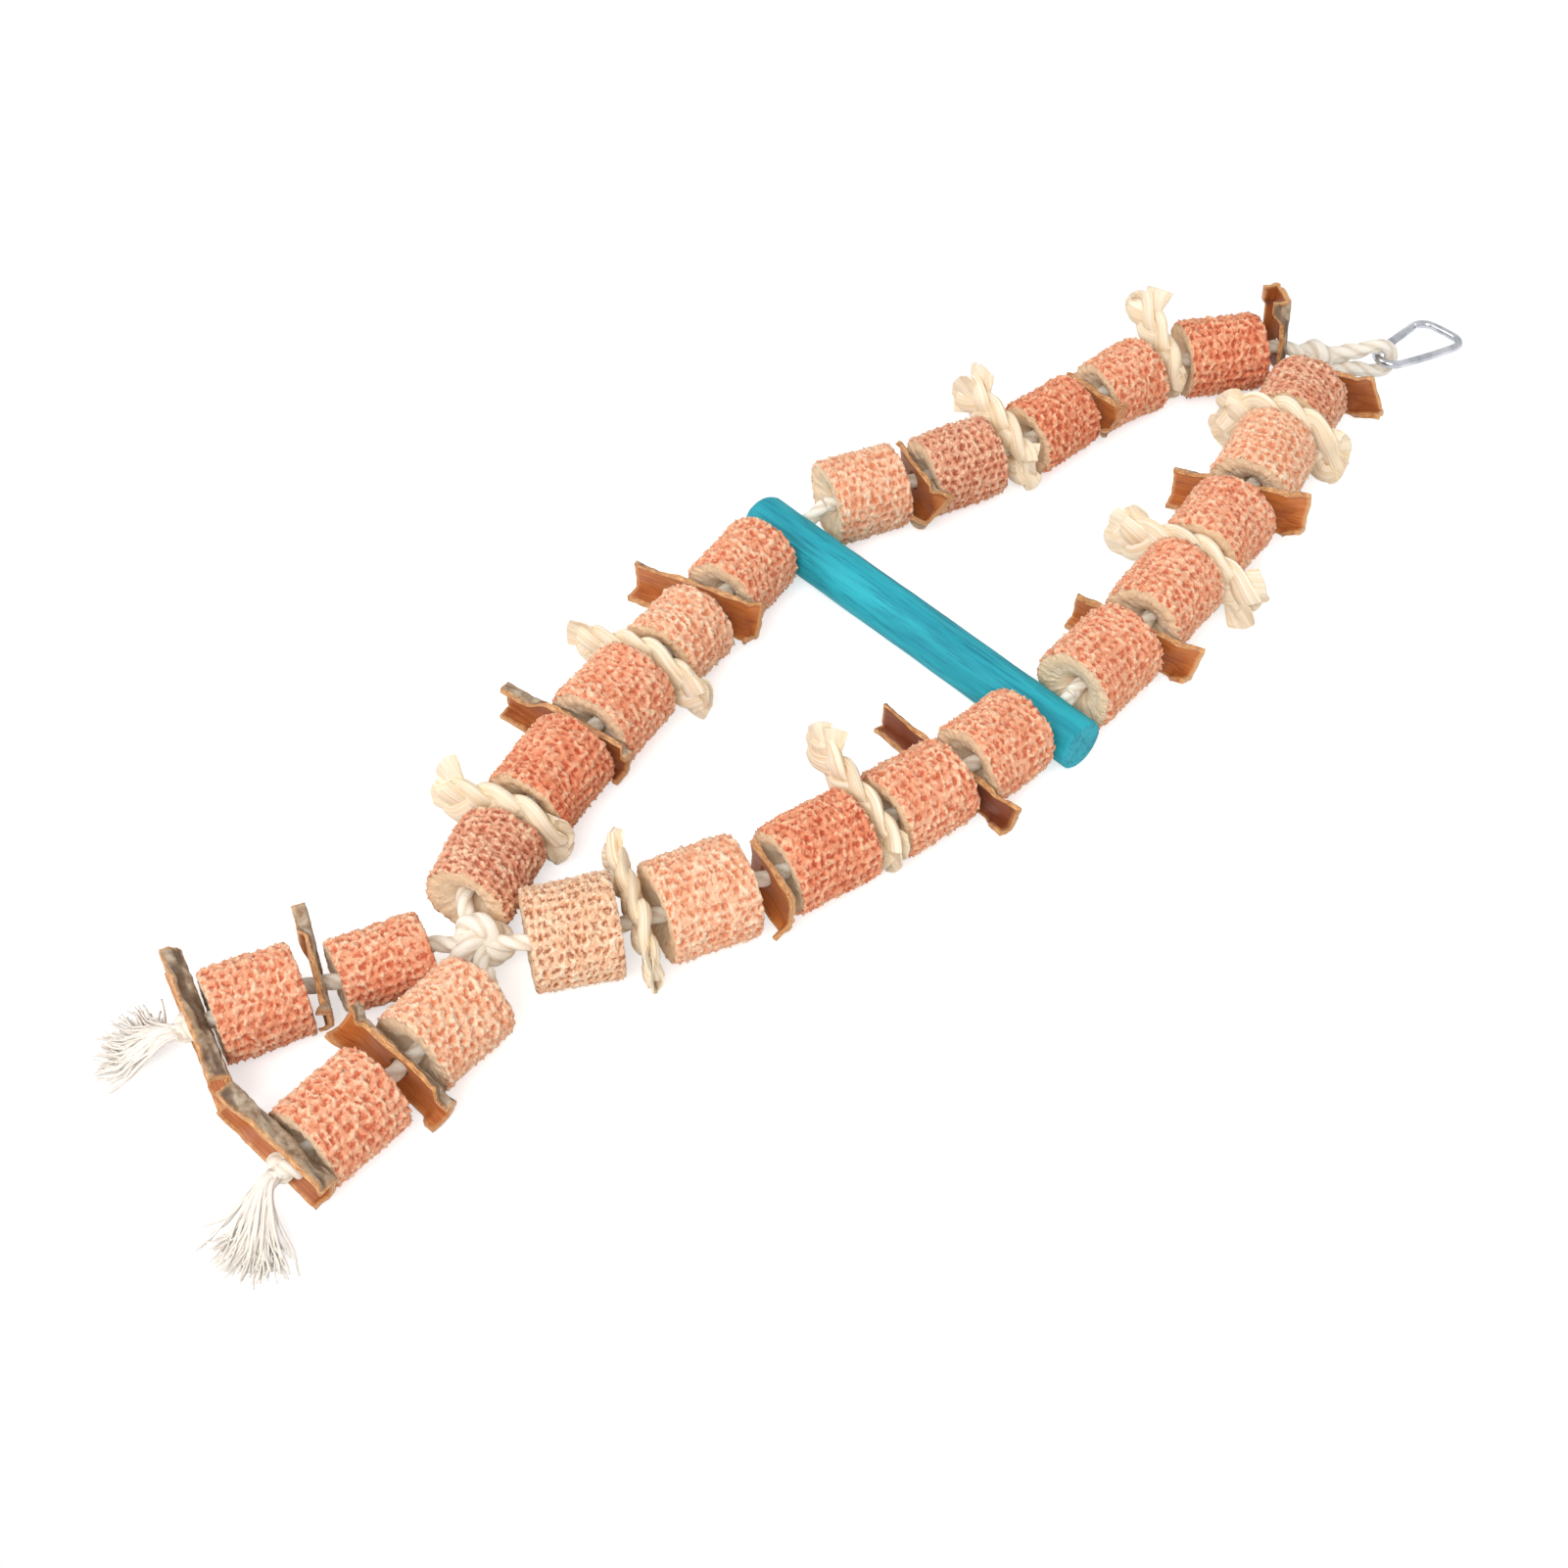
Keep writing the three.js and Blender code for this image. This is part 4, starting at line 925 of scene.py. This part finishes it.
def open_hole(layers, faces):
    """Takes the faces round the rope out of both layers, rounds the hole and lists its edges."""
    middle = layers[0].reshape(-1, 3)
    away = np.hypot(middle[:, 0], middle[:, 2])[faces]
    gone = (away < STRIP_HOLE_RADIUS).any(axis=1) & (away < STRIP_HOLE_RADIUS * STRIP_HOLE_SPREAD).all(axis=1)
    edges = {}
    for face in faces[gone]:
        for a, b in zip(face, np.roll(face, -1)):
            edges[(a, b)] = True
    rim = [(a, b) for a, b in edges if (b, a) not in edges]
    for index in {corner for edge in rim for corner in edge}:
        for layer in layers:
            point = layer.reshape(-1, 3)[index]
            point[[0, 2]] *= STRIP_HOLE_RADIUS / max(math.hypot(point[0], point[2]), 1e-6)
    return faces[~gone], rim


def make_bark(place, material):
    name, spec = "bark_" + place, BARKS[place]
    rng = seeded(name)
    layers, crack, flat, edge = bark_layers(rng, spec)
    faces, hole = open_hole(layers, quads(BARK_ROWS, BARK_COLUMNS))
    centre, basis = bead_frame(name, spec.turn)
    outer, inner = (layer.reshape(-1, 3) for layer in layers)
    run, across = flat[..., 0].ravel(), flat[..., 1].ravel()
    count = len(outer)
    mesh = Mesh()
    mesh.add(
        centre + np.vstack([outer, inner]) @ basis, sheet_faces(faces, hole, count),
        outer=np.repeat([1.0, 0.0], count), crack=np.append(crack, 0 * crack), run=np.tile(run, 2),
        across=np.tile(across, 2), edge=np.append(0.4 * edge, 0.85 * edge),
        deep=np.full(2 * count, spec.deep),
    )
    outline = grid_outline(BARK_ROWS, BARK_COLUMNS)
    steps = np.linspace(0, 1, BARK_RIM_ROWS)[:, None, None]
    wall = lerp(outer[outline][None], inner[outline][None], steps)
    wall[1:-1] += 0.08 * rng.normal(size=wall[1:-1].shape)
    mesh.add(
        centre + wall.reshape(-1, 3) @ basis, quads(BARK_RIM_ROWS, len(outline), wrap_columns=True),
        edge=np.ones(wall.shape[:2]), run=np.tile(run[outline], BARK_RIM_ROWS),
        across=np.tile(across[outline], BARK_RIM_ROWS),
        depth=np.repeat(steps[:, 0], len(outline), 1) * BARK_THICKNESS,
    )
    dress(mesh.piece(name + "_strip", material, sharp=SHARP), name, name)


# Husk plaits, in a bead's own frame until they are placed
def husk_line(spec, x):
    """Sag of the plait's middle line at each place along it."""
    return -np.where(x < 0, *spec.sag) * (x / np.where(x < 0, *spec.reach)) ** 2


def strand_path(spec, x, t):
    """A strand's line, which swings from side to side and parts round the rope."""
    z = PLAIT_SWING * spec.wide * np.sin(t) + PLAIT_RISE * np.exp(-((x / PLAIT_RISE_REACH) ** 2))
    parted = np.maximum(0, PLAIT_PART - abs(z)) * np.exp(-((x / PLAIT_PART_REACH) ** 2))
    z = z + np.where(z >= 0, 1, -1) * parted
    return np.stack([x, PLAIT_LIFT * np.sin(2 * t), z + husk_line(spec, x)], -1)


def add_strand(mesh, rng, spec, phase):
    left, right = spec.reach
    x = np.arange(-left + PLAIT_SHORT, right - PLAIT_SHORT + 0.01, PLAIT_STEP)
    t = ROUND * x / PLAIT_PERIOD + phase
    path = strand_path(spec, x, t)
    angle = ring_angles(PLAIT_SIDES)
    tangents = units(np.gradient(path, axis=0))
    across = units(np.cross(ROPE_WAY, tangents))
    out = np.cross(tangents, across)
    fold = 0.07 * np.cos(3 * angle + 6 * rng.uniform()) + 0.04 * np.cos(7 * angle + 6 * rng.uniform())
    swell = (1 + 0.08 * wobble(rng, path, 9))[:, None] * (1 + fold)
    points = path[:, None] + across[:, None] * (PLAIT_HALF_WIDTH * swell * np.cos(angle))[..., None]
    points = points + out[:, None] * (PLAIT_HALF_THICKNESS * swell * np.sin(angle))[..., None]
    # inner marks the side of a strand that runs under the next one: its edges get painted shade
    inner = np.clip(np.sin(t)[:, None] * np.cos(angle) * 1.4, 0, 1)
    mesh.add(
        points, tube_faces(len(x), PLAIT_SIDES), run=np.repeat(x[:, None], PLAIT_SIDES, 1),
        across=np.repeat(angle[None] * 2.2, len(x), 0) + 20 * phase,
        crease=smoothstep(0.7, 1.0, abs(np.cos(angle))) * inner,
    )


def add_leaf(mesh, rng, start, way, length, width, bow):
    """A thin blade of husk that widens from a folded root to a cut tip."""
    down, over = np.linspace(0, 1, LEAF_ROWS), np.linspace(-1, 1, LEAF_COLUMNS)
    t, v = np.meshgrid(down, over, indexing="ij")
    half = lerp(0.4, 1.0, smoothstep(0, 0.9, t)) * width / 2
    pleat = 0.05 * np.cos(v * 7 + rng.uniform(0, 6)) * (1.3 - 0.6 * t)
    cup = rng.uniform(0.1, 0.35) * (1 - 0.6 * t)
    spread = np.cross(ROPE_WAY, way)
    normal = unit(np.cross(way, spread))
    along = t * length * (1 - 0.12 * rng.uniform(-1, 1) * v - 0.2 * abs(v) ** 3)
    roll = rng.uniform(-0.5, 0.5) * t**3 * v**2
    lift = bow * t**2 * length + half * (cup * v**2 + pleat + roll)
    middle = start + along[..., None] * way + (v * half)[..., None] * spread + lift[..., None] * normal
    ring = grid_outline(*t.shape)
    faces = sheet_faces(quads(*t.shape), zip(ring, np.roll(ring, -1)), t.size)
    # The leaf gets painted shade towards its folded root
    mesh.add(
        [middle + side * LEAF_HALF_THICKNESS * normal for side in (1, -1)], faces,
        run=np.tile((t * length).ravel(), 2), across=np.tile((v * half * 1.6).ravel(), 2) + 9 * rng.uniform(),
        crease=np.tile((0.4 * (1 - t)).ravel(), 2),
    )


def add_leaves(mesh, rng, spec, way):
    """The leaves at one end of a plait: way is -1 on the left and 1 on the right."""
    root = way * (spec.reach[0 if way < 0 else 1] - LEAF_ROOT)
    for lean in LEAF_LEANS:
        aim = turned(np.array([float(way), 0, 0]), ROPE_WAY, lean + rng.uniform(-8, 8))
        start = np.array([root, rng.uniform(-1.4, 1.4), husk_line(spec, root) - 0.06 * lean * way])
        length, width = rng.uniform(11.5, 14), rng.uniform(11, 15)
        add_leaf(mesh, rng, start, aim, length, width, rng.uniform(-0.18, 0.18))


def make_husk(place, material):
    name, spec = "husk_" + place, HUSKS[place]
    rng = seeded(name)
    mesh = Mesh()
    shift = rng.uniform(0, 6)
    for strand in range(3):
        add_strand(mesh, rng, spec, shift + ROUND * strand / 3)
    for way in (-1, 1):
        add_leaves(mesh, rng, spec, way)
    centre, basis = bead_frame(name, spec.turn)
    mesh.points = [centre + points @ basis for points in mesh.points]
    for points in mesh.points:
        points[:, 2] = np.maximum(points[:, 2], LEAF_REST + 0.1 * rng.uniform(size=len(points)))
    dress(mesh.piece(name + "_plait", material, sharp=HUSK_SHARP), name, name)


# Rope
def strand_route(cobs, toward_hook):
    """Where the rope enters and leaves each cob."""
    route = []
    for name in cobs:
        centre, axis = joint_place(name + "_spin")
        half, _ = cob_size(name)
        way = 1 if toward_hook else -1
        route += [centre + end * way * axis * half - ROPE_DROP * UP for end in (-1, 1)]
    return route


def upper_route(side):
    return strand_route([f"cob_{side}_{number}" for number in (5, 4, 3, 2, 1)], True)


def lower_route(side):
    return strand_route([f"cob_{side}_{number}" for number in (6, 7, 8, 9, 10)], False)


def tail_route(side):
    return strand_route([f"cob_tail_{side}_{number}" for number in (1, 2)], False)


def add_knot(mesh, centre, along, radius, scale, stretch, roll):
    """A tightened overhand knot."""
    side = turned(unit(np.cross(along, UP)), along, roll)
    up = np.cross(side, along)
    t = np.linspace(0, ROUND, KNOT_POINTS, endpoint=False)[:, None]
    x = (np.sin(t) + 2 * np.sin(2 * t)) * scale * stretch
    y = (np.cos(t) - 2 * np.cos(2 * t)) * scale
    z = -np.sin(3 * t) * scale * KNOT_HEIGHT
    add_rope(mesh, centre + x * along + y * side + z * up, radius, closed=True)


def loop_path():
    """The loop's line from the top knot round the eye and back, and its direction."""
    knot = PERCH_FOOT + TOP_KNOT
    eye = LOOP_HALF * math.sin(math.radians(LOOP_ROLL)) + ROPE_RADIUS + LOOP_REST
    along = unit(heading(LOOP_HEADING) + UP * (eye - TOP_KNOT[2]) / LOOP_LENGTH)
    side = turned(unit(np.cross(along, UP)), along, LOOP_ROLL)
    leg = [(0, LOOP_ROOT)] + [(LOOP_LENGTH * far, LOOP_HALF * wide) for far, wide in LOOP_LEG]
    spots = [(far, -wide) for far, wide in leg]
    for angle in np.linspace(0, math.pi, 7):
        spots.append((LOOP_LENGTH + LOOP_HALF * math.sin(angle), -LOOP_HALF * math.cos(angle)))
    spots += leg[::-1]
    return smooth_path([knot + far * along + wide * side for far, wide in spots], ROPE_STEP), along


def make_upper_rope(material):
    mesh = Mesh()
    knot = PERCH_FOOT + TOP_KNOT
    for side in SIDES:
        last, axis = joint_place(f"bark_{side}_1_spin")
        through = [last - ROPE_DROP * UP + way * STRIP_LEAD * axis for way in (-1, 1)]
        add_rope(mesh, smooth_path([*upper_route(side), *through, knot], ROPE_STEP))
    path, along = loop_path()
    from_eye = abs(np.linspace(-1, 1, len(path)))[:, None]
    add_rope(mesh, path, lerp(ROPE_RADIUS, LOOP_ROPE_RADIUS, smoothstep(*LOOP_TAPER, from_eye)))
    add_knot(mesh, knot, along, **TOP_TIE)
    dress(mesh.piece("rope_upper_cotton", material), "upper_frame", "rope_upper")


def make_lower_rope(material):
    mesh = Mesh()
    knot = PERCH_FOOT + BOTTOM_KNOT
    for side in SIDES:
        add_rope(mesh, smooth_path([*lower_route(side), knot], ROPE_STEP))
    add_knot(mesh, knot, heading(BOTTOM_HEADING), **BOTTOM_TIE)
    dress(mesh.piece("rope_lower_cotton", material), "lower_frame", "rope_lower")


def make_perch_stubs(side, material):
    """Rope that bends where it leaves the perch on both sides."""
    node = "rope_perch_" + side
    hole = box_middle(node)
    for part, route, way in (("upper", upper_route(side), 1), ("lower", lower_route(side), -1)):
        mesh = Mesh()
        straight = hole + np.array([0, way * STUB_STRAIGHT, 0])
        add_rope(mesh, smooth_path([hole, straight, route[0]], STUB_STEP), start=way * STUB_LAY_START)
        piece = mesh.piece(f"rope_stub_{part}_{side}", material)
        start, end = (hole + (0, way * far, 0) for far in PERCH_BEND)
        dress_bend(piece, "perch", part + "_frame", start, end, node)


def tail_end(side):
    """Middle of a tail's end knot, just past the web of its last bark strip, and the way the tail points."""
    last, axis = joint_place(f"bark_tail_{side}_2_spin")
    depth = bark_depth(BARKS[f"tail_{side}_2"])
    return last - axis * (BARK_THICKNESS - depth / 2 + TAIL_KNOT_GAP) - ROPE_DROP * UP, -axis


def make_tail_rope(side, material):
    route = tail_route(side)
    knot, way = tail_end(side)
    body, node = "tail_" + side, "rope_tail_" + side
    mesh = Mesh()
    add_rope(mesh, smooth_path([*route, knot, knot + way * TAIL_END], ROPE_STEP))
    add_knot(mesh, knot, way, **TAIL_TIE)
    dress(mesh.piece(node + "_cotton", material), body, node)
    stub = Mesh()
    joint, _ = joint_place(body + "_swing")
    start = PERCH_FOOT + BOTTOM_KNOT
    lead = route[0] + unit(route[0] - route[1]) * TAIL_LEAD
    add_rope(stub, smooth_path([start, joint, lead, route[0]], STUB_STEP), start=TAIL_LAY_START)
    bend = [joint + far * unit(route[0] - start) for far in TAIL_BEND]
    dress_bend(stub.piece("rope_stub_" + body, material), "lower_frame", body, *bend, node)


# Tassels
def yarn_path(rng, start, way, aim, length, t):
    """A yarn that leaves the knot, bends to its own heading and waves on the floor."""
    bend = 0.35 + 0.65 * smoothstep(0.0, 0.55, t)
    path = start + way * YARN_STRAIGHT * (1 - (1 - np.minimum(t * 3, 1)) ** 2) + aim * length * t * bend
    ground = 0.6 + 3.2 * rng.uniform() ** 2
    path[:, 2:] = lerp(path[:, 2:], ground, smoothstep(0.1, 0.8, t))
    wave = np.sin(t * rng.uniform(5, 10) + rng.uniform(0, 6)) * rng.uniform(0.2, 0.9) * t
    curl = rng.normal(0, 2.2) * t**3
    path = path + unit(np.cross(aim, UP)) * (wave + curl)
    path = path + UP * (0.5 * np.sin(t * 9 + rng.uniform(0, 6)) * t)
    path[:, 2] = np.maximum(path[:, 2], YARN_REST)
    return path


def make_tassel(side, material):
    rng = seeded("tassel_" + side)
    knot, way = tail_end(side)
    root, level = knot + way * TASSEL_ROOT, unit(np.cross(way, UP))
    t = np.linspace(0, 1, YARN_POINTS)[:, None]
    mesh = Mesh()
    for number in range(TASSEL_YARNS):
        share = (number + rng.uniform(-0.5, 0.5)) / (TASSEL_YARNS - 1) - 0.5
        aim = turned(way, UP, TASSEL_FAN[side] + TASSEL_SPREAD[side] * share + rng.normal(0, 8))
        place, size = rng.uniform(0, ROUND), TASSEL_BUNCH * math.sqrt(rng.uniform())
        start = root + level * size * math.cos(place) + UP * size * math.sin(place)
        length = TASSEL_LENGTH * rng.uniform(0.72, 1.08) * (1 - 0.2 * abs(share))
        path = yarn_path(rng, start, way, aim, length, t)
        radius = rng.uniform(0.38, 0.56) * (1 - 0.35 * t) * np.ones((1, YARN_SIDES))
        ply = np.repeat(np.arange(YARN_SIDES)[None] / YARN_SIDES * 0.2, len(path), 0) + rng.uniform()
        run = np.repeat(t * length, YARN_SIDES, 1)
        # Each yarn gets a random darker tone through the mask that carries the rope's painted groove shade
        add_tube(mesh, path, radius, ply=ply, run=run, crease=0 * run + 0.3 * rng.uniform())
    dress(mesh.piece(f"tassel_{side}_yarn", material), "tail_" + side, "tassel_" + side)


# Perch
def end_rings(rim, rounding):
    """Radii and places of the rings over a rounded end, from its edge to its middle."""
    rings = []
    for lean in np.linspace(0, math.pi / 2, 9)[1:]:
        rings.append((rim - rounding * (1 - math.cos(lean)), rounding * math.sin(lean)))
    for share in (0.8, 0.6, 0.4, 0.2, 0.04):
        rings.append((share * (rim - rounding), rounding + 0.05 * (1 - share)))
    return rings


def perch_radii(rng, half, radius):
    """Uneven radii along the dowel, with one faint knob."""
    a, x = np.meshgrid(ring_angles(PERCH_SIDES), np.linspace(-half, half, PERCH_STATIONS))
    spots = np.stack([x * 0.12, radius * np.cos(a), radius * np.sin(a)], -1)
    uneven = 0.1 * wobble(rng, spots, 9) + 0.05 * wobble(rng, spots, 2.4)
    knob = smoothstep(0, 1, np.exp(-(((x + 6) / 9) ** 2)) * np.exp(-(((a - 1.2) / 0.5) ** 2)))
    return radius - PERCH_SKIN + uneven + 0.25 * knob


def make_perch(material):
    low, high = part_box("perch")
    half = (high.x - low.x) / 2 / MM
    radii = perch_radii(seeded("perch"), half, (high.z - low.z) / 2 / MM)
    left, right = PERCH_ROUNDING
    start, stop = left - half, half - right
    rows = [(start - out, ring) for ring, out in end_rings(radii[0], left)[::-1]]
    rows += list(zip(np.linspace(start, stop, PERCH_STATIONS), radii))
    rows += [(stop + out, ring) for ring, out in end_rings(radii[-1], right)]
    angle = ring_angles(PERCH_SIDES)
    points = [np.stack([0 * angle + x, r * np.cos(angle), r * np.sin(angle)], -1) for x, r in rows]
    mesh = Mesh()
    mesh.add(PERCH + np.array(points), tube_faces(len(rows), PERCH_SIDES))
    piece = mesh.piece("perch_dowel", material, sharp=SHARP)
    for side in SIDES:
        drill_perch(piece, box_middle("rope_perch_" + side))
    dress(piece, "perch", "perch")


def drill_perch(piece, hole):
    drill = Mesh()
    path = np.array([hole + (0, y, 0) for y in (-DRILL_HALF, 0, DRILL_HALF)])
    add_tube(drill, path, np.full((len(path), DRILL_SIDES), DRILL_RADIUS))
    cut(piece, drill.piece("drill", piece.data.materials[0]))


# Snap hook
def hook_outline():
    """The wire's line in the hook's plane, from the gate's head to its foot."""
    top = HOOK_LENGTH - HOOK_WIRE
    corner = np.array([(HOOK_WIDTH - HOOK_WIRE) / 2 - HOOK_CORNER_RADIUS, top - HOOK_CORNER_RADIUS])
    narrow = np.array([0, HOOK_NARROW_RADIUS])
    rise = corner - narrow
    turn = -math.atan2(*rise) + math.asin((HOOK_NARROW_RADIUS - HOOK_CORNER_RADIUS) / np.hypot(*rise))

    def arc(centre, radius, start, stop, count):
        angles = np.linspace(start, stop, count)
        return [centre + radius * np.array([math.cos(angle), math.sin(angle)]) for angle in angles]

    wire = arc(corner * (-1, 1), HOOK_CORNER_RADIUS, math.pi - turn, math.pi / 2, CORNER_POINTS)
    wire += arc(corner, HOOK_CORNER_RADIUS, math.pi / 2, turn, CORNER_POINTS)
    wire += arc(narrow, HOOK_NARROW_RADIUS, turn, -math.pi - turn, NARROW_POINTS)
    return np.array(wire)


HOOK_LINE = hook_outline()
GATE_WAY = unit(HOOK_LINE[0] - HOOK_LINE[-1])
GATE_SIDE = np.array([GATE_WAY[1], -GATE_WAY[0]])
PIVOT = HOOK_LINE[-1] + GATE_WAY * (GATE_END + GATE_SWING_GAP)


def in_hook(points, z=0.0):
    """Points of the hook's plane, z above it, in the CAD frame."""
    origin, side = joint_place("loop_swing")
    _, hinge = joint_place("gate_hinge")
    basis = np.array([side, np.cross(-hinge, side), -hinge])
    points = np.asarray(points, float)
    return origin + np.concatenate([points, np.full((*points.shape[:-1], 1), z)], -1) @ basis


def add_plate(mesh, outline, thickness):
    """A flat plate in the hook's plane."""
    count = len(outline)
    faces = [list(range(count))[::-1], list(range(count, 2 * count))]
    faces += [[k, (k + 1) % count, (k + 1) % count + count, k + count] for k in range(count)]
    mesh.add([in_hook(outline, z) for z in (-thickness / 2, thickness / 2)], faces)


def add_rod(mesh, start, stop, radius, near, far, sides):
    """A rod between two points, with its two ends shaped by places and shares of the radius."""
    length, way = np.linalg.norm(stop - start), unit(stop - start)
    profile = list(near) + [(length - place, share) for place, share in far[::-1]]
    path = np.array([start + way * place for place, _ in profile])
    add_tube(mesh, path, np.array([[radius * share] * sides for _, share in profile]))


def tongue_outline():
    """The tongue that reaches from the wire's foot into the gate's slot, rounded at both ends."""
    wide = TONGUE_WIDE * HOOK_WIRE / 2
    outline = []
    for end, way in ((HOOK_LINE[-1] - GATE_WAY * TONGUE_ROOT, 1), (PIVOT + GATE_WAY * GATE_END, -1)):
        for angle in np.linspace(0, math.pi, 7):
            bulge = GATE_SIDE * math.cos(angle) - GATE_WAY * TONGUE_ROUND * math.sin(angle)
            outline.append(end + way * wide * bulge)
    return outline


def make_hook_body(material):
    mesh = Mesh()
    path = smooth_path(in_hook(HOOK_LINE), HOOK_STEP)
    radii = np.full((len(path), HOOK_SIDES), HOOK_WIRE / 2)
    for place, share in enumerate(HOOK_TIP):
        radii[[place, -1 - place]] *= share
    add_tube(mesh, path, radii)
    add_plate(mesh, tongue_outline(), TONGUE)
    dress(mesh.piece("hook_wire", material, sharp=SHARP), "hook", "hook_body")


def make_hook_gate(material):
    gate, slot = Mesh(), Mesh()
    start, stop = PIVOT - GATE_WAY * GATE_END, HOOK_LINE[0] - GATE_WAY * GATE_NOSE_GAP
    add_rod(gate, in_hook(start), in_hook(stop), GATE_DIAMETER / 2, GATE_FOOT, GATE_HEAD, GATE_SIDES)
    corners = []
    for a, b in ((-1, -1), (1, -1), (1, 1), (-1, 1)):
        corners.append(PIVOT + GATE_SIDE * a * GATE_DIAMETER + GATE_WAY * b * GATE_SLOT_LENGTH / 2)
    add_plate(slot, corners, GATE_SLOT)
    piece = gate.piece("hook_sleeve", material, sharp=SHARP)
    cut(piece, slot.piece("slot", material))
    dress(piece, "gate", "hook_gate")


def make_hook_pin(material):
    mesh = Mesh()
    half = GATE_DIAMETER / 2 + PIN_PROUD
    ends = [in_hook(PIVOT, z) for z in (-half, half)]
    add_rod(mesh, *ends, PIN_DIAMETER / 2, PIN_ENDS, PIN_ENDS, PIN_SIDES)
    dress(mesh.piece("hook_rivet", material, sharp=SHARP), "hook", "hook_pin")


# Stage, light and camera
def make_camera():
    camera = bpy.data.objects.new("camera", bpy.data.cameras.new("camera"))
    place, target = (PERCH_FOOT + CAMERA_PLACE) * MM, (PERCH_FOOT + CAMERA_TARGET) * MM
    camera.location = place
    camera.rotation_euler = Vector(target - place).to_track_quat("-Z", "Y").to_euler()
    camera.data.lens = CAMERA_LENS
    camera.data.sensor_width = CAMERA_SENSOR
    camera.data.clip_end = CAMERA_FAR
    bpy.context.scene.collection.objects.link(camera)
    bpy.context.scene.camera = camera


def seen_share(nodes):
    """1 for what the camera sees straight, in a mirror or through glass, 0 for light on the object."""
    path = nodes.node("ShaderNodeLightPath").outputs
    seen = path["Is Camera Ray"]
    for name in ("Is Glossy Ray", "Is Transmission Ray"):
        seen = nodes.add(seen, path[name], use_clamp=True)
    return seen


def floor_openness(nodes, reach, samples, fade, inside=False):
    """0 to 1 as the share of open sky over the floor, or of open space inside it, goes through a fade."""
    node = nodes.node("ShaderNodeAmbientOcclusion", samples=samples, inside=inside)
    node.inputs["Distance"].default_value = reach
    return nodes.span(node.outputs["AO"], *fade)


def floor_material():
    """Pale with its shadows near the object, clear to the camera further off and over what hangs below it,
    and clear to all light from below."""
    material = bpy.data.materials.new("floor")
    material.use_nodes = True
    nodes = Nodes(material.node_tree)
    nodes.tree.nodes.clear()
    diffuse, glow = nodes.node("ShaderNodeBsdfDiffuse"), nodes.node("ShaderNodeEmission")
    diffuse.inputs["Color"].default_value = FLOOR_GREY
    nodes.feed(glow.inputs["Strength"], nodes.times(seen_share(nodes), FLOOR_GLOW))
    pale = nodes.filled(nodes.node("ShaderNodeAddShader"), diffuse.outputs[0], glow.outputs[0])
    clear = nodes.node("ShaderNodeBsdfTransparent").outputs[0]
    far = floor_openness(nodes, FLOOR_SHADE_REACH, FLOOR_SAMPLES[0], FLOOR_SHADE_FADE)
    over = floor_openness(nodes, FLOOR_UNDER_REACH, FLOOR_SAMPLES[1], FLOOR_UNDER_FADE, inside=True)
    by_camera = nodes.node("ShaderNodeLightPath").outputs["Is Camera Ray"]
    shown = nodes.mix_shaders(nodes.times(nodes.add(far, over, use_clamp=True), by_camera), pale, clear)
    below = nodes.node("ShaderNodeNewGeometry").outputs["Backfacing"]
    output = nodes.node("ShaderNodeOutputMaterial")
    nodes.feed(output.inputs["Surface"], nodes.mix_shaders(below, shown, clear))
    return material


def make_floor():
    mesh = bpy.data.meshes.new("floor")
    corners = [(FLOOR_HALF * x, FLOOR_HALF * y, 0) for x, y in ((-1, -1), (1, -1), (1, 1), (-1, 1))]
    mesh.from_pydata(corners, [], [(0, 1, 2, 3)])
    mesh.materials.append(floor_material())
    floor = bpy.data.objects.new("floor", mesh)
    bpy.context.scene.collection.objects.link(floor)


def make_light():
    scene = bpy.context.scene
    scene.view_settings.view_transform = "Standard"
    scene.world = bpy.data.worlds.new("studio")
    scene.world.use_nodes = True
    nodes = Nodes(scene.world.node_tree)
    background = nodes.tree.nodes["Background"]
    background.inputs["Color"].default_value = (1, 1, 1, 1)
    nodes.feed(background.inputs["Strength"], nodes.span(seen_share(nodes), 0, 1, WORLD_LIGHT, 1.0))
    for name, (place, size, power) in LAMPS.items():
        lamp = bpy.data.objects.new(name, bpy.data.lights.new(name, "AREA"))
        lamp.data.size, lamp.data.energy = size, power
        lamp.location = place
        lamp.rotation_euler = (-Vector(place)).to_track_quat("-Z", "Y").to_euler()
        scene.collection.objects.link(lamp)


def make_ropes():
    cotton = rope_material("rope", ROPE_LIGHT, ROPE_DARK)
    frayed = rope_material("tassel", TASSEL_LIGHT, TASSEL_DARK)
    make_upper_rope(cotton)
    make_lower_rope(cotton)
    for side in SIDES:
        make_perch_stubs(side, cotton)
    for side in SIDES:
        make_tail_rope(side, cotton)
        make_tassel(side, frayed)


def make_beads():
    for tint, places in COB_LOOKS.items():
        chaff = cob_material(tint)
        for place in places:
            make_cob(place, tint, chaff)
    bark, husk = bark_material(), husk_material()
    for place in BARKS:
        make_bark(place, bark)
    for place in HUSKS:
        make_husk(place, husk)


def make_hook():
    metal = metal_material()
    for make in (make_hook_body, make_hook_gate, make_hook_pin):
        make(metal)


make_camera()
make_ropes()
make_beads()
make_perch(perch_material())
make_hook()
make_floor()
make_light()
